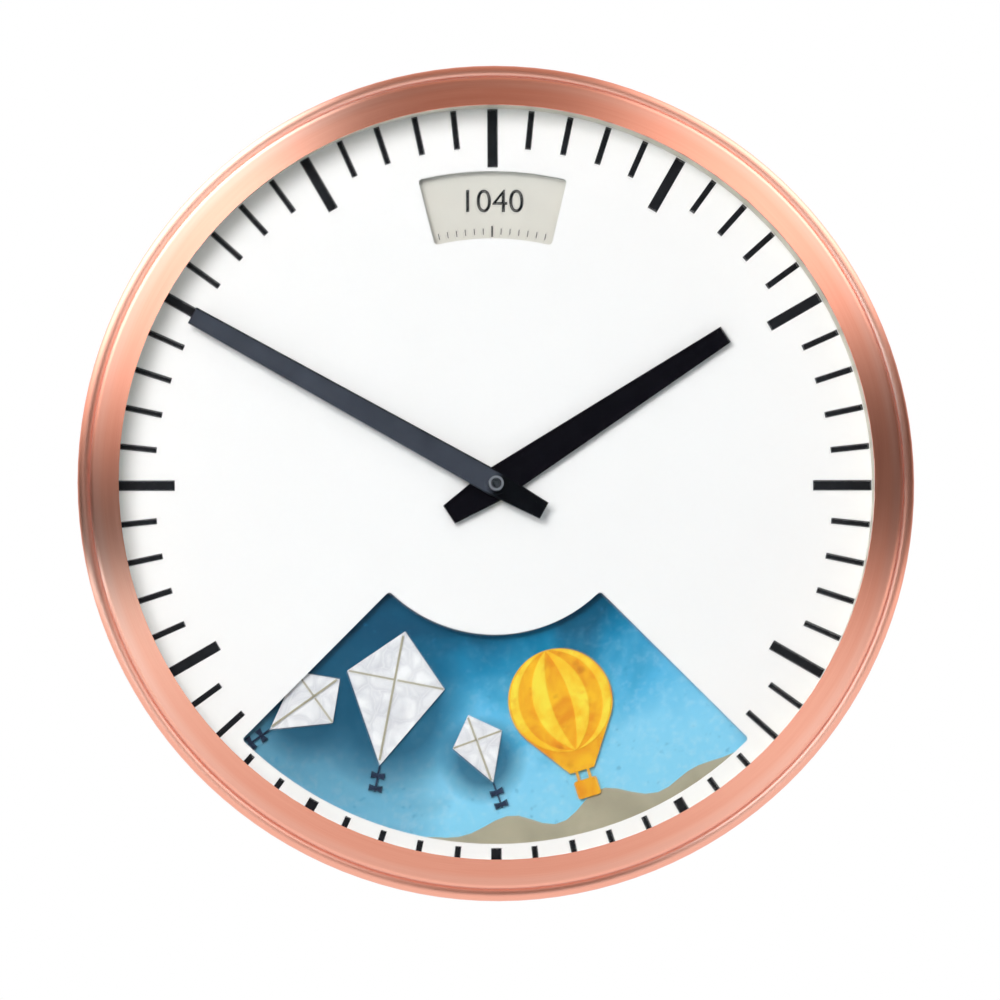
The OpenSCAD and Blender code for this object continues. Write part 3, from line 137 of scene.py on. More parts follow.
class Surface(Nodes):
    """A material with a Principled shader and the textures that feed it."""

    def __init__(self, name, roughness, color=None, metallic=0.0):
        self.material = bpy.data.materials.new(name)
        self.material.use_nodes = True
        super().__init__(self.material.node_tree)
        self.shader = self.tree.nodes["Principled BSDF"]
        self.fixed("Roughness", roughness)
        self.fixed("Metallic", metallic)
        if color:
            self.fixed("Base Color", (*color, 1))
        self.coords = self.node("ShaderNodeTexCoord").outputs["Object"]

    def link(self, source, socket):
        """Links to a socket, or to the shader's input of that name."""
        if isinstance(socket, str):
            socket = self.shader.inputs[socket]
        super().link(source, socket)

    def fixed(self, name, value):
        self.shader.inputs[name].default_value = value

    def stretched(self, scale):
        made = self.node("ShaderNodeMapping")
        made.inputs["Scale"].default_value = scale
        self.link(self.coords, made.inputs["Vector"])
        return made.outputs[0]

    def dotted(self, direction):
        """How far a point lies from the axis in a direction, in metres."""
        made = self.node("ShaderNodeVectorMath", operation="DOT_PRODUCT")
        self.link(self.coords, made.inputs[0])
        made.inputs[1].default_value = direction
        return made.outputs["Value"]

    def radius(self):
        """The distance from the clock's axis, in metres."""
        made = self.node("ShaderNodeVectorMath", operation="LENGTH")
        self.link(self.stretched((1, 0, 1)), made.inputs[0])
        return made.outputs["Value"]

    def turned(self, along, across):
        """Coordinates that vary slowly round the axis and fast along the radius and the depth."""
        unit = self.node("ShaderNodeVectorMath", operation="NORMALIZE")
        self.link(self.stretched((1, 0, 1)), unit.inputs[0])
        parts = self.node("ShaderNodeSeparateXYZ")
        self.link(unit.outputs[0], parts.inputs[0])
        depth = self.node("ShaderNodeSeparateXYZ")
        self.link(self.coords, depth.inputs[0])
        swept = self.maths("ADD", self.radius(), depth.outputs["Y"])
        joined = self.node("ShaderNodeCombineXYZ")
        self.link(self.maths("MULTIPLY", parts.outputs["X"], along), joined.inputs["X"])
        self.link(self.maths("MULTIPLY", parts.outputs["Z"], along), joined.inputs["Y"])
        self.link(self.maths("MULTIPLY", swept, across), joined.inputs["Z"])
        return joined.outputs[0]

    def noise(self, scale, detail=4.0, vector=None, distortion=0.0):
        made = self.node("ShaderNodeTexNoise")
        made.inputs["Scale"].default_value = scale
        made.inputs["Detail"].default_value = detail
        made.inputs["Distortion"].default_value = distortion
        self.link(vector or self.coords, made.inputs["Vector"])
        return made.outputs[0]

    def cells(self, scale, feature="F1", vector=None):
        made = self.node("ShaderNodeTexVoronoi", feature=feature)
        made.inputs["Scale"].default_value = scale
        self.link(vector or self.coords, made.inputs["Vector"])
        return made.outputs["Distance"]

    def blended(self, factor, a, b):
        made = self.node("ShaderNodeMix", data_type="RGBA", blend_type="MIX")
        for place, value in zip(MIX_COLOR_SOCKETS, (factor, a, b)):
            self.feed(made.inputs[place], value)
        return made.outputs[MIX_COLOR_OUT]

    def bump(self, height, distance, strength=1.0):
        """Bumps add up: each call lies on the one before it."""
        made = self.node("ShaderNodeBump")
        made.inputs["Distance"].default_value = distance
        made.inputs["Strength"].default_value = strength
        self.link(height, made.inputs["Height"])
        normal = self.shader.inputs["Normal"]
        if normal.is_linked:
            self.link(normal.links[0].from_socket, made.inputs["Normal"])
        self.link(made.outputs[0], normal)


def shades(color, low=0.85, high=1.12):
    """A darker and a lighter version of a colour."""
    return tuple(c * low for c in color), tuple(min(1.0, c * high) for c in color)


def moulded(name, color, roughness, grain=1400.0, height=0.00004):
    """Plastic with a fine spark-eroded grain and slight flow marks."""
    made = Surface(name, roughness)
    dark, light = shades(color)
    flow = made.noise(35.0, 3.0, distortion=0.6)
    made.link(made.ramp(flow, (0.3, dark), (0.7, light)), "Base Color")
    made.link(made.span(flow, 0.3, 0.7, roughness * 0.9, roughness * 1.12), "Roughness")
    made.bump(made.noise(grain, 2.0), height)
    return made.material


def plated(name, color, roughness, scale=260.0):
    """Plated or rolled sheet metal with cloudy patches and fine scratches."""
    made = Surface(name, roughness, metallic=1.0)
    dark, light = shades(color, 0.82, 1.1)
    cloud = made.noise(scale, 5.0)
    made.link(made.ramp(cloud, (0.3, dark), (0.75, light)), "Base Color")
    made.link(made.span(cloud, 0.3, 0.7, roughness * 0.75, roughness * 1.3), "Roughness")
    made.bump(made.noise(900.0, 3.0, made.stretched((1.0, 1.0, 14.0))), 0.00003, 0.6)
    return made.material


def turned_metal(name, color, roughness):
    """Metal turned about the clock's axis, with tool marks round it."""
    made = Surface(name, roughness, metallic=1.0)
    marks = made.noise(1.0, 3.0, made.turned(3.0, 2600.0))
    dark, light = shades(color, 0.86, 1.1)
    made.link(made.ramp(marks, (0.3, dark), (0.7, light)), "Base Color")
    made.link(made.span(marks, 0.25, 0.75, roughness * 0.8, roughness * 1.25), "Roughness")
    made.bump(marks, 0.00002, 0.7)
    return made.material


def paper(name, color, fibre=420.0, spread=(0.86, 1.1), height=0.00012):
    """Printed card: mottled ink over soft fibres."""
    made = Surface(name, 0.8)
    dark, light = shades(color, *spread)
    blot = made.noise(70.0, 6.0, distortion=0.4)
    made.link(made.ramp(blot, (0.3, dark), (0.72, light)), "Base Color")
    made.bump(made.noise(fibre, 5.0), height, 0.6)
    return made.material


# Radii in metres: the start of the bezel's rolled edge and the two sides of its groove, where a
# lighter copper is painted sheen for the light these curves catch, and where the brushing dies out
ROLLED_R = (0.1500, 0.1525)
GROOVE_IN_R = (0.1547, 0.1554)
GROOVE_OUT_R = (0.1561, 0.1572)
BRUSHED_R = (0.1492, 0.1502)


def brushed_copper():
    """Copper-coloured lacquer over metal that was brushed round the axis, with a painted sheen on
    the rolled edge and beside the groove.
    """
    made = Surface("brushed_copper", 0.32, metallic=1.0)
    fine = made.noise(1.0, 2.0, made.turned(5.0, 5200.0))
    broad = made.noise(1.0, 4.0, made.turned(2.2, 420.0))
    thin = made.maths("MULTIPLY", fine, 0.6)
    wide = made.maths("MULTIPLY", broad, 0.4)
    streak = made.maths("ADD", thin, wide)
    lacquer = made.ramp(streak, (0.3, (0.87, 0.265, 0.165)), (0.72, (0.94, 0.33, 0.215)))
    # Painted sheen: the rolled edge and the groove's sides take a lighter copper for the light they
    # catch
    rolled = made.span(made.radius(), *ROLLED_R, 0.0, 0.18)
    groove_sheen_in = made.span(made.radius(), *GROOVE_IN_R, 0.0, 0.8)
    groove_sheen_out = made.span(made.radius(), *GROOVE_OUT_R, 1.0, 0.0)
    painted_sheen = made.maths("MAXIMUM", rolled, made.maths("MULTIPLY", groove_sheen_in, groove_sheen_out))
    made.link(made.blended(painted_sheen, lacquer, (0.97, 0.54, 0.43)), "Base Color")
    made.link(made.span(streak, 0.3, 0.7, 0.28, 0.37), "Roughness")
    made.fixed("Anisotropic", 0.88)
    made.fixed("Anisotropic Rotation", 0.25)
    around = made.node("ShaderNodeTangent", direction_type="RADIAL", axis="Y")
    made.link(around.outputs[0], "Tangent")
    made.fixed("Coat Weight", 0.04)
    made.fixed("Coat Roughness", 0.3)
    brushed = made.span(made.radius(), *BRUSHED_R, 1.0, 0.1)
    made.bump(made.maths("MULTIPLY", fine, brushed), 0.000012, 0.7)
    return made.material


def clear_glass():
    made = Surface("clear_glass", 0.01, (0.97, 0.99, 0.985))
    made.fixed("Transmission Weight", 1.0)
    made.fixed("IOR", 1.45)
    made.fixed("Alpha", 0.1)
    made.bump(made.noise(6.0, 1.0), 0.00002, 0.2)
    return made.material


def white_dial():
    """White stove enamel on sheet metal, with the faintest orange peel."""
    made = Surface("white_dial", 0.42)
    blot = made.noise(16.0, 3.0)
    tints = ((0.3, (0.962, 0.945, 0.936)), (0.7, (0.975, 0.96, 0.953)))
    made.link(made.ramp(blot, *tints), "Base Color")
    made.bump(made.noise(620.0, 2.0), 0.00003, 0.35)
    return made.material


def cream_card():
    made = Surface("cream_card", 0.6)
    dark, light = shades((0.70, 0.64, 0.53), 0.92, 1.05)
    made.link(made.ramp(made.noise(90.0, 4.0), (0.3, dark), (0.7, light)), "Base Color")
    made.bump(made.noise(800.0, 3.0), 0.00004, 0.5)
    return made.material


def black_print():
    made = Surface("black_print", 0.55)
    made.fixed("Specular IOR Level", 0.15)
    inks = ((0.3, (0.005, 0.004, 0.005)), (0.75, (0.011, 0.010, 0.012)))
    made.link(made.ramp(made.noise(300.0, 4.0), *inks), "Base Color")
    made.bump(made.noise(1500.0, 2.0), 0.00003, 0.5)
    return made.material


# The painted soft shadow beside each kite, falling down and to the right as the key light casts it:
# its middle on the kite (millimetres, and a share of the half width), how far it falls (metres) and
# its reach in half widths
SHADE_MIDDLE = (-1.5, -0.45)
SHADE_FALL = (0.002, -0.003)
SHADE_REACH = (0.9, 1.75)
SHADE_DEPTH = 0.8


def sky_print():
    """Blue paper print: bright past 6 o'clock, darker in the rain and storm parts, where the edge
    that reaches into the window's left side is also painted shade of the clouds, and deep teal
    towards the hub, partly print and partly painted shade under the window's upper edge, with blots,
    flecks and soft painted shadows beside the kites."""
    made = Surface("sky_print", 0.72)
    # Deep teal towards the hub: partly print, partly painted shade under the window's upper edge
    reach = made.span(made.radius(), 0.057, 0.137)
    drift = made.span(made.noise(11.0, 4.0, distortion=1.2), 0.3, 0.7, -0.2, 0.2)
    depth = made.ramp(
        made.maths("ADD", reach, drift),
        (0.0, (0.0, 0.085, 0.17)),
        (0.2, (0.004, 0.22, 0.41)),
        (0.45, (0.09, 0.46, 0.74)),
        (0.65, (0.22, 0.62, 0.87)),
        (1.0, (0.25, 0.66, 0.89)),
    )
    parts = made.node("ShaderNodeSeparateXYZ")
    made.link(made.coords, parts.inputs[0])
    past_six = made.maths(
        "ARCTAN2", parts.outputs["X"], made.maths("MULTIPLY", parts.outputs["Z"], -1.0)
    )
    wavering = made.maths("ADD", past_six, drift)
    # Darker in the rain and storm parts; where this reaches into the window's left side it is also
    # painted shade of the clouds
    storm_and_shade_mask = made.span(wavering, math.radians(-8), math.radians(-40), 0.0, 0.92)
    storm_and_shade_mask = made.maths("MULTIPLY", storm_and_shade_mask, made.span(reach, 0.6, 1.0, 1.0, 0.6))
    cloudy = made.span(made.noise(60.0, 8.0, distortion=0.8), 0.42, 0.72, 0.0, 0.45)
    cloudy = made.maths("MULTIPLY", cloudy, reach)
    mottled = made.blended(cloudy, depth, (0.30, 0.68, 0.88))
    fleck = made.span(made.noise(420.0, 5.0), 0.5, 0.68, 0.0, 0.42)
    flecked = made.blended(made.maths("MULTIPLY", fleck, reach), mottled, (0.45, 0.74, 0.9))
    sky_with_storm_and_shade = made.blended(storm_and_shade_mask, flecked, (0.003, 0.055, 0.115))
    spot = made.span(made.noise(330.0, 3.0), 0.3, 0.36, 0.3, 0.0)
    inked = made.blended(spot, sky_with_storm_and_shade, (0.02, 0.2, 0.4))
    # Painted shadows: each kite's soft shadow is darkened into the sky, off to its lower right
    for side, inset, tilt, half_w in KITES:
        on_kite = Vector((SHADE_MIDDLE[0], SHADE_MIDDLE[1] * half_w, 0))
        middle = kite_place(side, inset, tilt, 0) @ on_kite
        away = made.node("ShaderNodeVectorMath", operation="SUBTRACT")
        made.link(made.stretched((1, 0, 1)), away.inputs[0])
        away.inputs[1].default_value = (middle.x + SHADE_FALL[0], 0, middle.z + SHADE_FALL[1])
        far = made.node("ShaderNodeVectorMath", operation="LENGTH")
        made.link(away.outputs[0], far.inputs[0])
        near, end = (half_w * MM * share for share in SHADE_REACH)
        shade = made.span(far.outputs["Value"], near, end, SHADE_DEPTH, 0.0)
        inked = made.blended(shade, inked, (0.0, 0.06, 0.12))
    made.link(inked, "Base Color")
    made.bump(made.noise(380.0, 5.0), 0.00012, 0.5)
    return made.material


def golden_paper(name, bright, deep, rust):
    """Golden print with lighter blots, rust stains and a card's tooth."""
    made = Surface(name, 0.66)
    blot = made.noise(95.0, 8.0, distortion=0.7)
    gold = made.ramp(blot, (0.36, deep), (0.62, bright))
    stain = made.span(made.noise(150.0, 5.0), 0.58, 0.74, 0.0, 0.7)
    made.link(made.blended(stain, gold, rust), "Base Color")
    made.bump(made.noise(500.0, 5.0), 0.00012, 0.6)
    return made.material


def creased_paper():
    """White paper that was crumpled and pressed flat again, with painted shade in its creases and a
    painted highlight along their crests.
    """
    made = Surface("kite_paper", 0.75)
    soft = made.noise(70.0, 5.0, distortion=1.4)
    sheet = made.ramp(soft, (0.32, (0.76, 0.76, 0.79)), (0.62, (0.95, 0.95, 0.96)))
    warped = made.node("ShaderNodeVectorMath", operation="ADD")
    made.link(made.coords, warped.inputs[0])
    shift = made.node("ShaderNodeVectorMath", operation="SCALE")
    made.link(made.noise(60.0, 3.0), shift.inputs[0])
    shift.inputs["Scale"].default_value = 0.012
    made.link(shift.outputs[0], warped.inputs[1])
    fold = made.cells(120.0, "DISTANCE_TO_EDGE", warped.outputs[0])
    # Painted shade in the creases, and a painted highlight on their crests
    shaded = made.blended(made.span(fold, 0.0, 0.16, 0.42, 0.0), sheet, (0.50, 0.50, 0.56))
    crest_highlight = made.span(fold, 0.0, 0.035, 0.6, 0.0)
    made.link(made.blended(crest_highlight, shaded, (0.97, 0.97, 0.97)), "Base Color")
    made.bump(fold, 0.0014, 0.8)
    made.bump(made.noise(240.0, 5.0), 0.0003, 0.5)
    return made.material


def satin_black(name, dark, light, roughness, gloss):
    made = Surface(name, roughness)
    made.fixed("Specular IOR Level", gloss)
    blot = made.noise(120.0, 4.0)
    made.link(made.ramp(blot, (0.3, dark), (0.7, light)), "Base Color")
    made.link(made.span(blot, 0.3, 0.7, roughness * 0.9, roughness * 1.15), "Roughness")
    made.bump(made.noise(1600.0, 2.0), 0.00003, 0.4)
    return made.material


# The minute hand as it stands at rest, in metres from the axis: its blade narrows by the taper; a
# painted sheen lights the blade but leaves its upper edge dark from the outer to the inner line,
# and its tail from just past the axis, as parts turned from the light
MINUTE_A = math.radians(299.2)
BLADE_HALF_W = 0.0048
BLADE_TAPER = 0.0102
DARK_EDGE = (BLADE_HALF_W - 0.00075, BLADE_HALF_W - 0.0005)
TAIL_FADE = (0.0022, -0.0012)


def minute_paint():
    """Satin paint with painted light: a blue-grey sheen on the blade, and none on the tail and along
    the upper edge, which stay dark as turned from the light.
    """
    made = Surface("minute_paint", 0.36)
    blot = made.noise(120.0, 4.0)
    blade = made.ramp(blot, (0.3, (0.023, 0.026, 0.038)), (0.7, (0.034, 0.037, 0.052)))
    along = made.dotted((math.sin(MINUTE_A), 0, math.cos(MINUTE_A)))
    across = made.dotted((math.cos(MINUTE_A), 0, -math.sin(MINUTE_A)))
    edge = made.maths("ADD", across, made.maths("MULTIPLY", along, BLADE_TAPER))
    # Painted light: the tail and a line along the upper edge get no sheen and stay dark, as turned
    # from the light
    shaded_edge = made.span(edge, *DARK_EDGE)
    tail = made.span(along, *TAIL_FADE)
    unlit = made.maths("MAXIMUM", tail, shaded_edge)
    made.link(made.blended(unlit, blade, (0.002, 0.002, 0.003)), "Base Color")
    made.link(made.span(unlit, 0.0, 1.0, 0.35, 0.05), "Specular IOR Level")
    made.link(made.span(blot, 0.3, 0.7, 0.32, 0.41), "Roughness")
    made.bump(made.noise(1600.0, 2.0), 0.00003, 0.4)
    return made.material


HAND_NUT_R = 0.003


def nut_face():
    """Nut with painted light: shade where its hole lies, a painted highlight on its turned rim, and
    shade at its outer edge.
    """
    made = Surface("nut_grey", 0.3, metallic=0.2)
    # Painted light by radius: a dark centre as the hole's shade, a bright band as the rim's
    # highlight, a dark outer edge
    rim_highlight_and_hole_shade = made.ramp(
        made.span(made.radius(), 0.0, HAND_NUT_R),
        (0.62, (0.006, 0.006, 0.008)),
        (0.72, (0.20, 0.21, 0.23)),
        (0.90, (0.24, 0.25, 0.27)),
        (0.98, (0.02, 0.02, 0.025)),
    )
    marks = made.noise(1.0, 2.0, made.turned(2.0, 2600.0))
    worn = made.span(marks, 0.3, 0.7, 0.0, 0.3)
    made.link(made.blended(worn, rim_highlight_and_hole_shade, (0.05, 0.05, 0.06)), "Base Color")
    made.bump(marks, 0.000005, 0.5)
    return made.material


def green_board():
    """Solder mask over copper tracks, with bare tinned pads."""
    made = Surface("board_green", 0.32)
    track = made.span(made.cells(190.0, "DISTANCE_TO_EDGE"), 0.02, 0.05, 1.0, 0.0)
    made.link(made.blended(track, (0.008, 0.10, 0.045), (0.02, 0.22, 0.09)), "Base Color")
    made.bump(track, 0.00004, 0.6)
    return made.material


def wound_wire():
    made = Surface("coil_copper", 0.3, metallic=1.0)
    wave = made.node("ShaderNodeTexWave", bands_direction="Y")
    wave.inputs["Scale"].default_value = 900.0
    wave.inputs["Distortion"].default_value = 0.4
    made.link(made.coords, wave.inputs["Vector"])
    tints = ((0.2, (0.20, 0.06, 0.02)), (0.8, (0.66, 0.27, 0.10)))
    made.link(made.ramp(wave.outputs[0], *tints), "Base Color")
    made.bump(wave.outputs[0], 0.00008, 0.8)
    return made.material


# Where the battery cells' copper-coloured band begins, in metres from the middle of the row
NUB_BAND_X = (0.0170, 0.0172)


def cell_sleeve():
    """Shrink sleeve: dark green with a plain copper-coloured band at the nub end."""
    made = Surface("cell_sleeve", 0.28)
    parts = made.node("ShaderNodeSeparateXYZ")
    made.link(made.coords, parts.inputs[0])
    end = made.span(made.maths("ABSOLUTE", parts.outputs["X"]), *NUB_BAND_X)
    blot = made.ramp(made.noise(50.0, 3.0), (0.3, (0.012, 0.085, 0.05)), (0.7, (0.02, 0.12, 0.07)))
    made.link(made.blended(end, blot, (0.55, 0.30, 0.12)), "Base Color")
    made.bump(made.noise(240.0, 3.0), 0.00005, 0.4)
    return made.material


MATERIALS = {
    "brushed_copper": brushed_copper(),
    "clear_glass": clear_glass(),
    "black_rubber": moulded("black_rubber", (0.02, 0.02, 0.02), 0.8),
    "cream_card": cream_card(),
    "white_dial": white_dial(),
    "black_print": black_print(),
    "band_steel": moulded("band_steel", (0.30, 0.30, 0.31), 0.55, 700.0, 0.00008),
    "black_abs": moulded("black_abs", (0.022, 0.022, 0.024), 0.5, 1100.0, 0.00007),
    "zinc_steel": plated("zinc_steel", (0.62, 0.62, 0.64), 0.3),
    "chassis_aluminium": plated("chassis_aluminium", (0.62, 0.63, 0.65), 0.42, 120.0),
    "brass_parts": turned_metal("brass_parts", (0.80, 0.60, 0.27), 0.3),
    "spring_steel": plated("spring_steel", (0.06, 0.06, 0.066), 0.35),
    "acetal_gear": moulded("acetal_gear", (0.80, 0.79, 0.74), 0.4, 900.0),
    "sky_print": sky_print(),
    "cream_print": paper("cream_print", (0.73, 0.705, 0.64), 600.0, (0.95, 1.04), 0.00005),
    "balloon_gold": golden_paper(
        "balloon_gold", (0.95, 0.52, 0.02), (0.82, 0.30, 0.012), (0.55, 0.16, 0.01)
    ),
    "gore_yellow": golden_paper(
        "gore_yellow", (0.98, 0.76, 0.06), (0.95, 0.52, 0.02), (0.86, 0.34, 0.01)
    ),
    "kite_paper": creased_paper(),
    "navy_paper": paper("navy_paper", (0.012, 0.02, 0.045), 500.0, (0.6, 1.6)),
    "taupe_paper": paper("taupe_paper", (0.44, 0.40, 0.29)),
    "slate_paper": paper("slate_paper", (0.20, 0.26, 0.33), 420.0, (0.75, 1.25)),
    "drop_paper": paper("drop_paper", (0.66, 0.74, 0.82)),
    "motor_steel": plated("motor_steel", (0.55, 0.56, 0.58), 0.34, 90.0),
    "movement_abs": moulded("movement_abs", (0.018, 0.018, 0.02), 0.45, 900.0, 0.00008),
    "hand_black": satin_black(
        "hand_black", (0.002, 0.0015, 0.003), (0.004, 0.003, 0.005), 0.4, 0.04
    ),
    "nut_grey": nut_face(),
    "coil_copper": wound_wire(),
    "board_green": green_board(),
    "cell_sleeve": cell_sleeve(),
    "nickel_plate": plated("nickel_plate", (0.66, 0.64, 0.60), 0.22),
    "component_black": moulded("component_black", (0.014, 0.014, 0.015), 0.55, 1600.0),
    "pot_blue": moulded("pot_blue", (0.02, 0.08, 0.26), 0.35),
    "pale_knob": moulded("pale_knob", (0.62, 0.62, 0.60), 0.45),
    "red_button": moulded("red_button", (0.45, 0.035, 0.02), 0.4),
}

for part in frame["record"]["subparts"]:
    held = nodes[part["node"]].data.materials
    held.clear()
    held.append(MATERIALS[part["material_slot"]])

nodes["minute_hand"].data.materials[0] = minute_paint()


# Printed and moulded details, in millimetres

# How thick a print stands on its ground
PRINT_T = 0.05


def piece(name, verts, faces, slot, body):
    """A mesh piece in the row frame that rides on a body and takes a slot's finish."""
    mesh = bpy.data.meshes.new(name)
    mesh.from_pydata([tuple(v) for v in verts], [], faces)
    mesh.update()
    mesh.materials.append(MATERIALS[slot])
    made = bpy.data.objects.new(name, mesh)
    bpy.context.scene.collection.objects.link(made)
    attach(made, body)


def blocks(places):
    """Vertices and faces of boxes: each place is (matrix, width, length, height)."""
    corners = [(x, y, z) for z in (0, 1) for y in (-0.5, 0.5) for x in (-0.5, 0.5)]
    sides = [(0, 2, 3, 1), (4, 5, 7, 6), (0, 1, 5, 4), (2, 6, 7, 3), (0, 4, 6, 2), (1, 3, 7, 5)]
    verts = []
    faces = []
    for matrix, width, length, height in places:
        start = len(verts)
        verts += [matrix @ Vector((x * width, y * length, z * height)) for x, y, z in corners]
        faces += [tuple(start + i for i in side) for side in sides]
    return verts, faces


def lettering(name, words, slot, body):
    """Plain numbers as one mesh: each entry is (matrix, text, size in millimetres)."""
    verts = []
    faces = []
    for matrix, text, size in words:
        curve = bpy.data.curves.new(name, "FONT")
        curve.body = text
        curve.size = size
        curve.align_x = "CENTER"
        curve.align_y = "CENTER"
        curve.extrude = PRINT_T / 2
        drawn = bpy.data.objects.new(name, curve)
        mesh = drawn.to_mesh()
        start = len(verts)
        lift = Matrix.Translation((0, 0, PRINT_T / 2))
        verts += [matrix @ lift @ v.co for v in mesh.vertices]
        faces += [tuple(start + i for i in p.vertices) for p in mesh.polygons]
        drawn.to_mesh_clear()
        bpy.data.objects.remove(drawn)
        bpy.data.curves.remove(curve)
    piece(name, verts, faces, slot, body)


# The forecast band's pressure scale in hectopascals, high pressure at rest; ticks have a width
# and a length
STOPS_HPA = (1040, 1025, 1010, 995, 980)
STOP_STEP_A = 30.0
NUMBER_R = 109.5
NUMBER_SIZE = 12.5
TICK_R = 98.3
STOP_TICK = (0.7, 4.2)
SMALL_TICK = (0.35, 2.4)
TICK_STEP_A = 2.0
SCALE_PAST_A = 12.0

lettering(
    "pressure_numbers",
    [
        (at_clock(i * STOP_STEP_A, NUMBER_R, BAND_FRONT_Z), str(hpa), NUMBER_SIZE)
        for i, hpa in enumerate(STOPS_HPA)
    ],
    "black_print",
    "forecast_disc",
)

ticks = []
scale_a = STOP_STEP_A * (len(STOPS_HPA) - 1) + 2 * SCALE_PAST_A
for i in range(int(scale_a / TICK_STEP_A) + 1):
    angle = i * TICK_STEP_A - SCALE_PAST_A
    tick = SMALL_TICK if angle % STOP_STEP_A else STOP_TICK
    ticks.append((at_clock(angle, TICK_R, BAND_FRONT_Z), *tick, PRINT_T))
piece("pressure_ticks", *blocks(ticks), "black_print", "forecast_disc")

# The kites' spars: widths, thickness, and how much of the kite's length and width they cover
KEEL_W = 0.8
KEEL_SHARE = 0.93
KEEL_ASIDE = -0.5
YARD_W = 0.7
YARD_SHARE = 0.94
SPAR_T = 0.2

spars = []
for side, inset, tilt, half_w in KITES:
    front = kite_place(side, inset, tilt, RELIEF_FRONT_Z)
    keel_y = half_w * (1 - KITE_TAIL_SHARE) / 2
    keel_l = half_w * (1 + KITE_TAIL_SHARE) * KEEL_SHARE
    yard_l = half_w * YARD_SHARE
    keel = Matrix.Translation((KEEL_ASIDE, keel_y, 0))
    spars.append((front @ keel, KEEL_W, keel_l, SPAR_T))
    spars.append((front @ Matrix.Translation((-half_w / 2, 0, 0)), yard_l, YARD_W, SPAR_T))
    fold = kite_place(side, inset, tilt, FOLD_FRONT_Z)
    spars.append((fold @ Matrix.Translation((half_w / 2, 0, 0)), yard_l, YARD_W, SPAR_T))
piece("kite_spars", *blocks(spars), "taupe_paper", "forecast_disc")

# The back: a scale of plain numbers round the altitude knob, its index, and grips on the
# battery cover. The knob turns counter-clockwise as seen from behind, so the scale does too
KNOB_PLACE = (76.0, 40.0)
KNOB_MARKS = 11
KNOB_SWEEP_A = 270.0
KNOB_TICK_R = 11.6
KNOB_TICK = (0.5, 2.6, 0.06)
KNOB_NUMBER_R = 15.2
KNOB_NUMBER_SIZE = 3.6
KNOB_FACE_H = 4.3
KNOB_INDEX = (1.1, 5.0, 0.06)
KNOB_INDEX_R = 5.2


def on_back(x, y, angle=0.0, radius=0.0, height=0.0):
    """Places a mark on the back plate's wall side, turned about (x, y) as seen from behind."""
    spot = Matrix.Translation((-x, y, height - WALL_SIDE_Z))
    turn = Matrix.Rotation(math.radians(-angle), 4, "Z")
    return FROM_BEHIND @ spot @ turn @ Matrix.Translation((0, radius, 0))


knob_angles = [i * KNOB_SWEEP_A / (KNOB_MARKS - 1) - KNOB_SWEEP_A / 2 for i in range(KNOB_MARKS)]
piece(
    "knob_ticks",
    *blocks([(on_back(*KNOB_PLACE, a, KNOB_TICK_R), *KNOB_TICK) for a in knob_angles]),
    "pale_knob",
    "case",
)
lettering(
    "knob_numbers",
    [
        (on_back(*KNOB_PLACE, a, KNOB_NUMBER_R), str(KNOB_MARKS - 1 - i), KNOB_NUMBER_SIZE)
        for i, a in enumerate(knob_angles)
        if i % 2 == 0
    ],
    "pale_knob",
    "case",
)
index_place = on_back(*KNOB_PLACE, KNOB_SWEEP_A / 2, KNOB_INDEX_R, KNOB_FACE_H)
piece("knob_index", *blocks([(index_place, *KNOB_INDEX)]), "black_print", "altitude_dial")

# Grip ribs on the battery cover, each narrower than the one above it
GRIP_TOP_Y = -65.0
GRIP_RIBS = 6
GRIP_PITCH = 2.2
GRIP_W = 22.0
GRIP_NARROWING = 2
GRIP_RIB_L = 0.9
GRIP_RIB_T = 0.5
piece(
    "cover_grips",
    *blocks(
        [
            (
                on_back(0, GRIP_TOP_Y - i * GRIP_PITCH),
                GRIP_W - GRIP_NARROWING * i,
                GRIP_RIB_L,
                GRIP_RIB_T,
            )
            for i in range(GRIP_RIBS)
        ]
    ),
    "black_abs",
    "battery_door",
)

# Studio: a pale floor, a white surround, three soft panels in front and one behind
FLOOR_Z = -2.5
FLOOR_HALF = 12.0
# How white the floor looks to the camera before the soft light is added
FLOOR_GLOW = 0.75
# What metal and glass mirror of it: a daylight white
FLOOR_MIRRORED = (1.12, 1.43, 1.56)


def pale_floor():
    """Pale floor that keeps shadows, and that metal and glass mirror as one bright tone."""
    made = Surface("pale_floor", 0.7)
    tints = ((0.3, (0.80, 0.80, 0.80)), (0.7, (0.83, 0.83, 0.83)))
    made.link(made.ramp(made.noise(1.5, 3.0), *tints), "Base Color")
    path = made.node("ShaderNodeLightPath")
    mirrored = made.maths(
        "MAXIMUM", path.outputs["Is Glossy Ray"], path.outputs["Is Transmission Ray"]
    )
    plain = made.node("ShaderNodeEmission")
    plain.inputs["Color"].default_value = (*FLOOR_MIRRORED, 1)
    glow = made.node("ShaderNodeEmission")
    to_camera = made.maths("MULTIPLY", path.outputs["Is Camera Ray"], FLOOR_GLOW)
    made.link(to_camera, glow.inputs["Strength"])
    lit = made.node("ShaderNodeAddShader")
    made.link(made.shader.outputs[0], lit.inputs[0])
    made.link(glow.outputs[0], lit.inputs[1])
    mix = made.node("ShaderNodeMixShader")
    made.link(mirrored, mix.inputs[0])
    made.link(lit.outputs[0], mix.inputs[1])
    made.link(plain.outputs[0], mix.inputs[2])
    made.link(mix.outputs[0], made.tree.nodes["Material Output"].inputs["Surface"])
    return made.material


